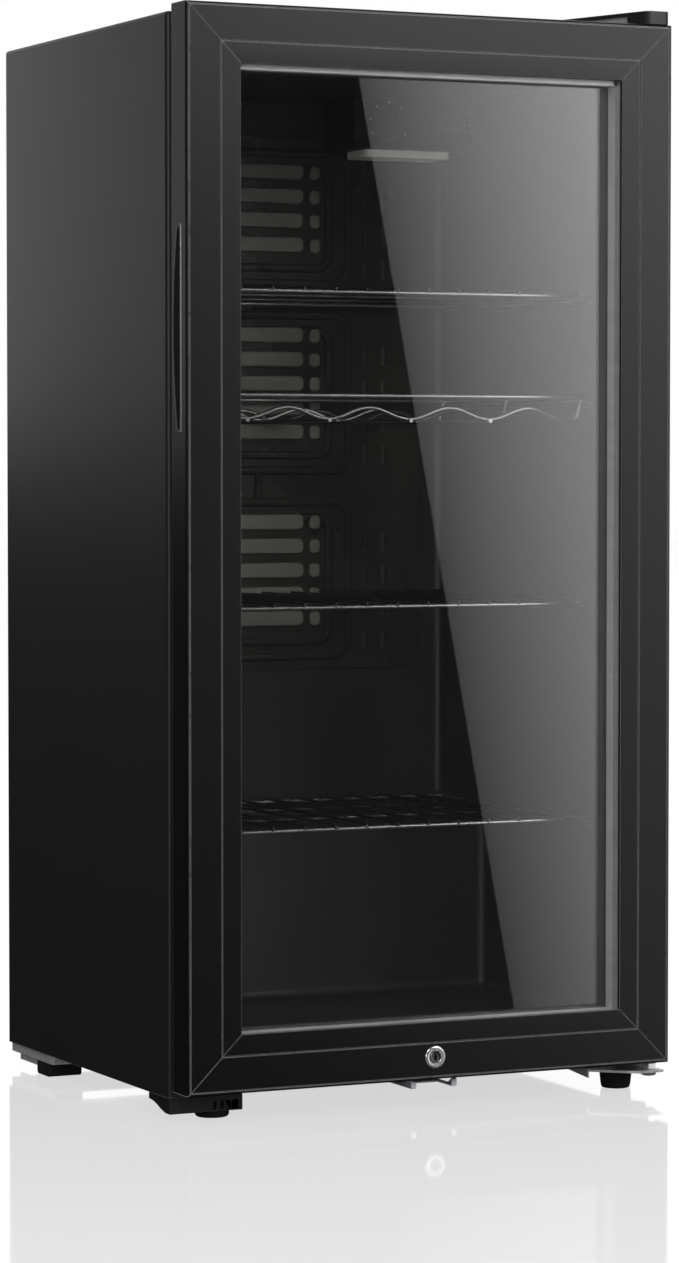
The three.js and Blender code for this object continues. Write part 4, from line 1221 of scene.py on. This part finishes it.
done(soften(nut, 0.25, 2, 40), "cabinet", chrome, "lower_hinge_nut", angle=20)
cover = soften(copied("hinge_cap", "top_hinge_cover"), 0.9, 3, 40)
done(cover, "cabinet", moulded_plastic, "top_hinge_cover")

# %% [markdown]
# ## Feet
# Two levelling feet stand at the front: a low round one under a moulded bracket, and a taller tapered one
# beside the hinge. Their sides are ribbed for the fingers: every second column of faces is pressed in a
# little.


# %% Feet
def press_in(piece, test, depth):
    """Presses the picked faces in, each along its own normal."""
    pick(piece, test)
    bpy.ops.mesh.extrude_region_move()
    bpy.ops.transform.shrink_fatten(value=-depth * MM)
    leave()
    return piece


def ribbed(piece, x, y, low, high, count, depth):
    """Presses in every second column of a turned side."""
    def column(m, w):
        turn = math.atan2(m.y - y, m.x - x) / (2 * math.pi) * count
        return low < m.z < high and abs(w.z) < 0.3 and int(math.floor(turn)) % 2 == 0

    return face_out(press_in(piece, column, depth))


LEFT_FOOT, RIGHT_FOOT = (-178, -143), (201, -151)
foot = turned(
    "foot_left",
    [
        (0, 0), (12.4, 0), (13.4, 0.5), (13.8, 1.4), (14.3, 1.8), (14.3, 6.6), (13.6, 7.6), (12.6, 8),
        (4, 8), (4, 28.4), (3.4, 29), (0, 29),
    ],
    (*LEFT_FOOT, 0), "Z", 72,
)
done(ribbed(foot, *LEFT_FOOT, 1.8, 6.6, 72, 0.45), "front_foot_left", rubber, "front_foot_left")
foot = turned(
    "foot_right",
    [
        (0, 0), (11.2, 0), (12.2, 0.6), (12.5, 1.5), (12.9, 3), (14.1, 14), (14.3, 15.6), (13.8, 16.8),
        (12.8, 17.3), (4, 17.3), (4, 28.4), (3.4, 29), (0, 29),
    ],
    (*RIGHT_FOOT, 0), "Z", 72,
)
done(ribbed(foot, *RIGHT_FOOT, 3, 14, 72, 0.4), "front_foot_right", rubber, "front_foot_right")
PAD_SIDE = ((110.5, 2), (112.5, 0), (137.5, 0), (139.5, 2), (139.5, 11.7), (110.5, 11.7))
rear = pull(outline("rear_pad_left", [(-223, y, z) for y, z in PAD_SIDE]), (31, 0, 0))
push(rear, lambda m, w: w.z < -0.9 and m.z < 1, (0, 0, 1.2), rim=3)
soften(rear, 0.8, 3, 40)
done(again(rear, "rear_pad_right", (415, 0, 0)), "cabinet", rubber, "rear_foot_right")
done(rear, "cabinet", rubber, "rear_foot_left")
bracket = soften(copied("foot_bracket", "front_bracket_left"), 0.5, 2, 40)
join(bracket, soften(block("grille_back", (-190, -158.6, 7.6), (-160.4, -157.4, 16.6))))
done(bracket, "cabinet", moulded_plastic, "front_bracket_left")

# %% [markdown]
# ## Control box and lamp
# High on the back wall hang the thermostat and the lamp. The dial has a finger grip and fine knurls, and
# print round it counts the settings. The lamp's lens has ribs inside that spread the light.

# %% Control box and lamp
DIAL_X, CONTROL_Z = 100, 847
casing = outline(
    "control_casing",
    [(66, y, z) for y, z in ((98, 824), (155, 824), (155, 869.6), (92, 869.6), (92, 830))],
)
soften(pull(casing, (118, 0, 0)), 2, 3, 30)
drill(
    casing, drum("dial_hole", (DIAL_X, 91, CONTROL_Z), 3.05, 13, "Y"),
    block("switch_hole", (140, 91, 839), (164, 99, 855)),
    *(block(f"vent_{k}", (171, 91, 834 + 5 * k), (180, 95, 836.2 + 5 * k)) for k in range(6)),
)
done(casing, "cabinet", moulded_plastic, "control_box")
dial = turned(
    "dial",
    [
        (0, 15.5), (3.02, 15.5), (2.97, 10.4), (15.9, 10.4), (16, 9.6), (15.6, 2.2), (15, 1), (13.6, 0.3),
        (12, 0.1), (10, 0.6), (0, 0.6),
    ],
    (DIAL_X, 81.4, CONTROL_Z), "Y", 60,
)


def every_second(m, w):
    across, up = m.x - DIAL_X, m.z - CONTROL_Z
    step = int(math.atan2(up, across) / math.pi * 30 + 60)
    return abs(w.y) < 0.3 and math.hypot(across, up) > 14 and step % 2 == 0


press_in(dial, every_second, 0.4)
grip = block("grip", (DIAL_X - 2.5, 76, CONTROL_Z - 13.6), (DIAL_X + 2.5, 82.6, CONTROL_Z + 13.6))
soften(round_edges(grip, along("z"), 1.2, 3), 0.8, 3, 30)
done(join(face_out(dial), grip), "thermostat_dial", moulded_plastic, "thermostat_dial")
MARK_RING, marks = 18.6, []
for k in range(7):
    turn = math.radians(210 - 40 * k)
    x, z = DIAL_X + MARK_RING * math.cos(turn), CONTROL_Z + MARK_RING * math.sin(turn)
    dot = [(0, 0), (0.5 + 0.11 * k, 0), (0.55 + 0.11 * k, 0.15), (0.5 + 0.11 * k, 0.3), (0, 0.3)]
    marks.append(turned(f"mark_{k}", dot, (x, 91.75, z), "Y", 16))
done(join(*marks), "cabinet", mark_paint)
rocker = soften(copied("lamp_rocker", "lamp_switch"), 0.4, 3, 25)
done(rocker, "lamp_switch", moulded_plastic, "lamp_switch")
lens = rounded_block("lamp_cover", (82, 102, 817), (168, 146, 823.7), "z", 6, 5)
RIB_LEFT, RIB_RIGHT, RIB_FRONT, RIB_BACK, RIB_WIDTH = 90, 158, 108, 140, 4


def between_ribs(m, w):
    inside_ribs = RIB_FRONT < m.y < RIB_BACK and RIB_LEFT < m.x < RIB_RIGHT
    return w.z < -0.9 and inside_ribs and int((m.x - RIB_LEFT) / RIB_WIDTH) % 2 == 0


cuts = [((x, 0, 0), (1, 0, 0)) for x in range(RIB_LEFT, RIB_RIGHT + RIB_WIDTH, RIB_WIDTH)]
cuts += [((0, y, 0), (0, 1, 0)) for y in (RIB_FRONT, RIB_BACK)]
lines(lens, lambda m, w: w.z < -0.9, cuts)
push(lens, between_ribs, (0, 0, 0.8))
done(soften(lens, 0.35, 2, 40), "cabinet", lens_plastic, "lamp_lens")

# %% [markdown]
# ## Cold circuit at the back
# The compressor is two pressed cups welded at a seam, on rubber mounts. From it a copper pipe feeds the coil
# behind the back panel, and a thin capillary leads from the drier into the cabinet. Pipes are bent wire.

# %% Compressor
COMP_X, COMP_Y, PIPE_Y = 40, 151, 198
can = turned(
    "compressor_can",
    [
        (0, 33), (30, 33), (36, 34.4), (41, 38), (44.6, 44), (46, 52), (46, 83.6), (47.6, 84), (48.3, 85),
        (48.3, 87), (47.6, 88), (46, 88.4), (46, 108), (45, 118), (42.4, 127), (37.4, 135.4), (29.4, 142.4),
        (20, 147), (10, 149.4), (0, 150),
    ],
    (0, 0, 0), "Z", 64,
)
alone(can)
can.scale, can.location = (1.25, 1, 1), (COMP_X * MM, COMP_Y * MM, 0)
bpy.ops.object.transform_apply()
for dy in (-31, 31):
    rail = rounded_block(
        "rail", (COMP_X - 76, COMP_Y + dy - 7, 30.3), (COMP_X + 76, COMP_Y + dy + 7, 36), "z", 3, 3,
    )
    join(can, soften(rail, 0.8, 2, 40))
stub = turned("stub", [(0, 0), (4.2, 0), (4.2, 6), (3.3, 7), (0, 7)], (91, COMP_Y, 115), "X", 20)
done(join(can, stub), "cabinet", cabinet_paint, "compressor_shell")
mount = turned(
    "mount_1",
    [
        (0, 13.8), (8.4, 13.8), (9, 14.4), (9, 18.4), (8.4, 19), (7, 20), (6.6, 22), (7, 24), (8.4, 25.4),
        (9, 26), (9, 29.4), (8.4, 30), (0, 30),
    ],
    (-29, 120, 0), "Z", 28,
)
for number, (x, y) in enumerate(((109, 120), (-29, 182), (109, 182)), 2):
    done(
        again(mount, f"mount_{number}", (x + 29, y - 120, 0)), "cabinet", rubber,
        f"compressor_grommet_{number}",
    )
done(mount, "cabinet", rubber, "compressor_grommet_1")
relay = block("relay_box", (101.5, 130, 46), (124, 172, 90))
round_edges(relay, lambda m, w: abs(w.z) > 0.9 and m.x > 120, 5, 4)
push(relay, lambda m, w: w.x > 0.9 and m.x > 123, (-0.8, 0, 0), rim=5)
done(soften(relay, 0.8, 3, 40), "cabinet", moulded_plastic, "relay_cover")
tray = rounded_block("melt_tray", (-18, 107, 150.4), (98, 195, 171), "z", 8, 5)
push(tray, lambda m, w: w.z > 0.9 and m.z > 170, (0, 0, -19), rim=1.7)
done(soften(tray, 0.5, 2, 40), "cabinet", moulded_plastic, "evaporating_tray")
drain = turned("melt_drain", [(4.5, 174), (6, 174), (6, 213.2), (4.5, 213.2)], (40, 140, 0), "Z", 28)
done(soften(drain), "cabinet", moulded_plastic, "drain_tube")

# %% Pipes
RIGHT, LEFT, COIL_LOW, STEP, PASSES, BACK_X = 190, -70, 270, 80, 7, -100
path = [(RIGHT, PIPE_Y, 174), (RIGHT, PIPE_Y, COIL_LOW)]
for k in range(PASSES):
    near, far = (LEFT, RIGHT) if k % 2 else (RIGHT, LEFT)
    path += ([(near, PIPE_Y, COIL_LOW + STEP * k)] if k else []) + [(far, PIPE_Y, COIL_LOW + STEP * k)]
path += [
    (BACK_X, PIPE_Y, COIL_LOW + STEP * (PASSES - 1)), (BACK_X, PIPE_Y, 160), (BACK_X, 180, 150),
    (BACK_X, 180, 135.6),
]
for name, node, route, radius, turn in (
    ("coil_run", "condenser_coil", path, 2.5, 24),
    (
        "suction_run", "suction_pipe",
        [(-18.4, 151, 115), (-140, 151, 115), (-140, PIPE_Y, 115), (-140, PIPE_Y, 470), (-140, 159.6, 470)],
        3, 14,
    ),
    (
        "discharge_run", "discharge_pipe",
        [(98.4, 151, 115), (RIGHT, 151, 115), (RIGHT, PIPE_Y, 115), (RIGHT, PIPE_Y, 173.6)], 2.5, 14,
    ),
    (
        "capillary_run", "capillary_tube",
        [
            (BACK_X, 180, 59.6), (BACK_X, 180, 44), (-124, 180, 44), (-124, PIPE_Y, 60),
            (-124, PIPE_Y, 470), (-124, 159.6, 470),
        ],
        1.2, 9,
    ),
):
    done(wires(name, [bend(route, turn, 6)], radius, (), 3), "cabinet", copper, node, angle=60)
drier = turned(
    "drier_can",
    [
        (0, 60), (3, 60), (3.4, 62), (5.6, 65.4), (8.4, 68), (9, 70.4), (9, 76), (8.6, 76.8), (9, 77.6),
        (9, 124), (8.4, 127), (5.6, 130.4), (3.2, 133), (3, 135), (0, 135),
    ],
    (BACK_X, 180, 0), "Z", 36,
)
done(drier, "cabinet", copper, "filter_drier")

# %% [markdown]
# ## Sheet metal below, power inlet and foam
# The floor panel steps over the compressor bay, and a plate carries the compressor. These are folded sheet
# whose shape is right already, so a copy of each solid gets rounded edges. The foam is out of sight between
# the walls.

# %% Lower sheet metal
for name, node, look, width in (
    ("floor_sheet", "floor_panel", zinc_steel, 0.3), ("compressor_tray", "compressor_plate", zinc_steel, 0.4),
    ("inlet_socket", "power_inlet", moulded_plastic, 0.5),
):
    done(soften(copied(name, node), width, 2, 40), "cabinet", look, node)
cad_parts["foam_insulation"].data.materials.clear()
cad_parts["foam_insulation"].data.materials.append(foam)
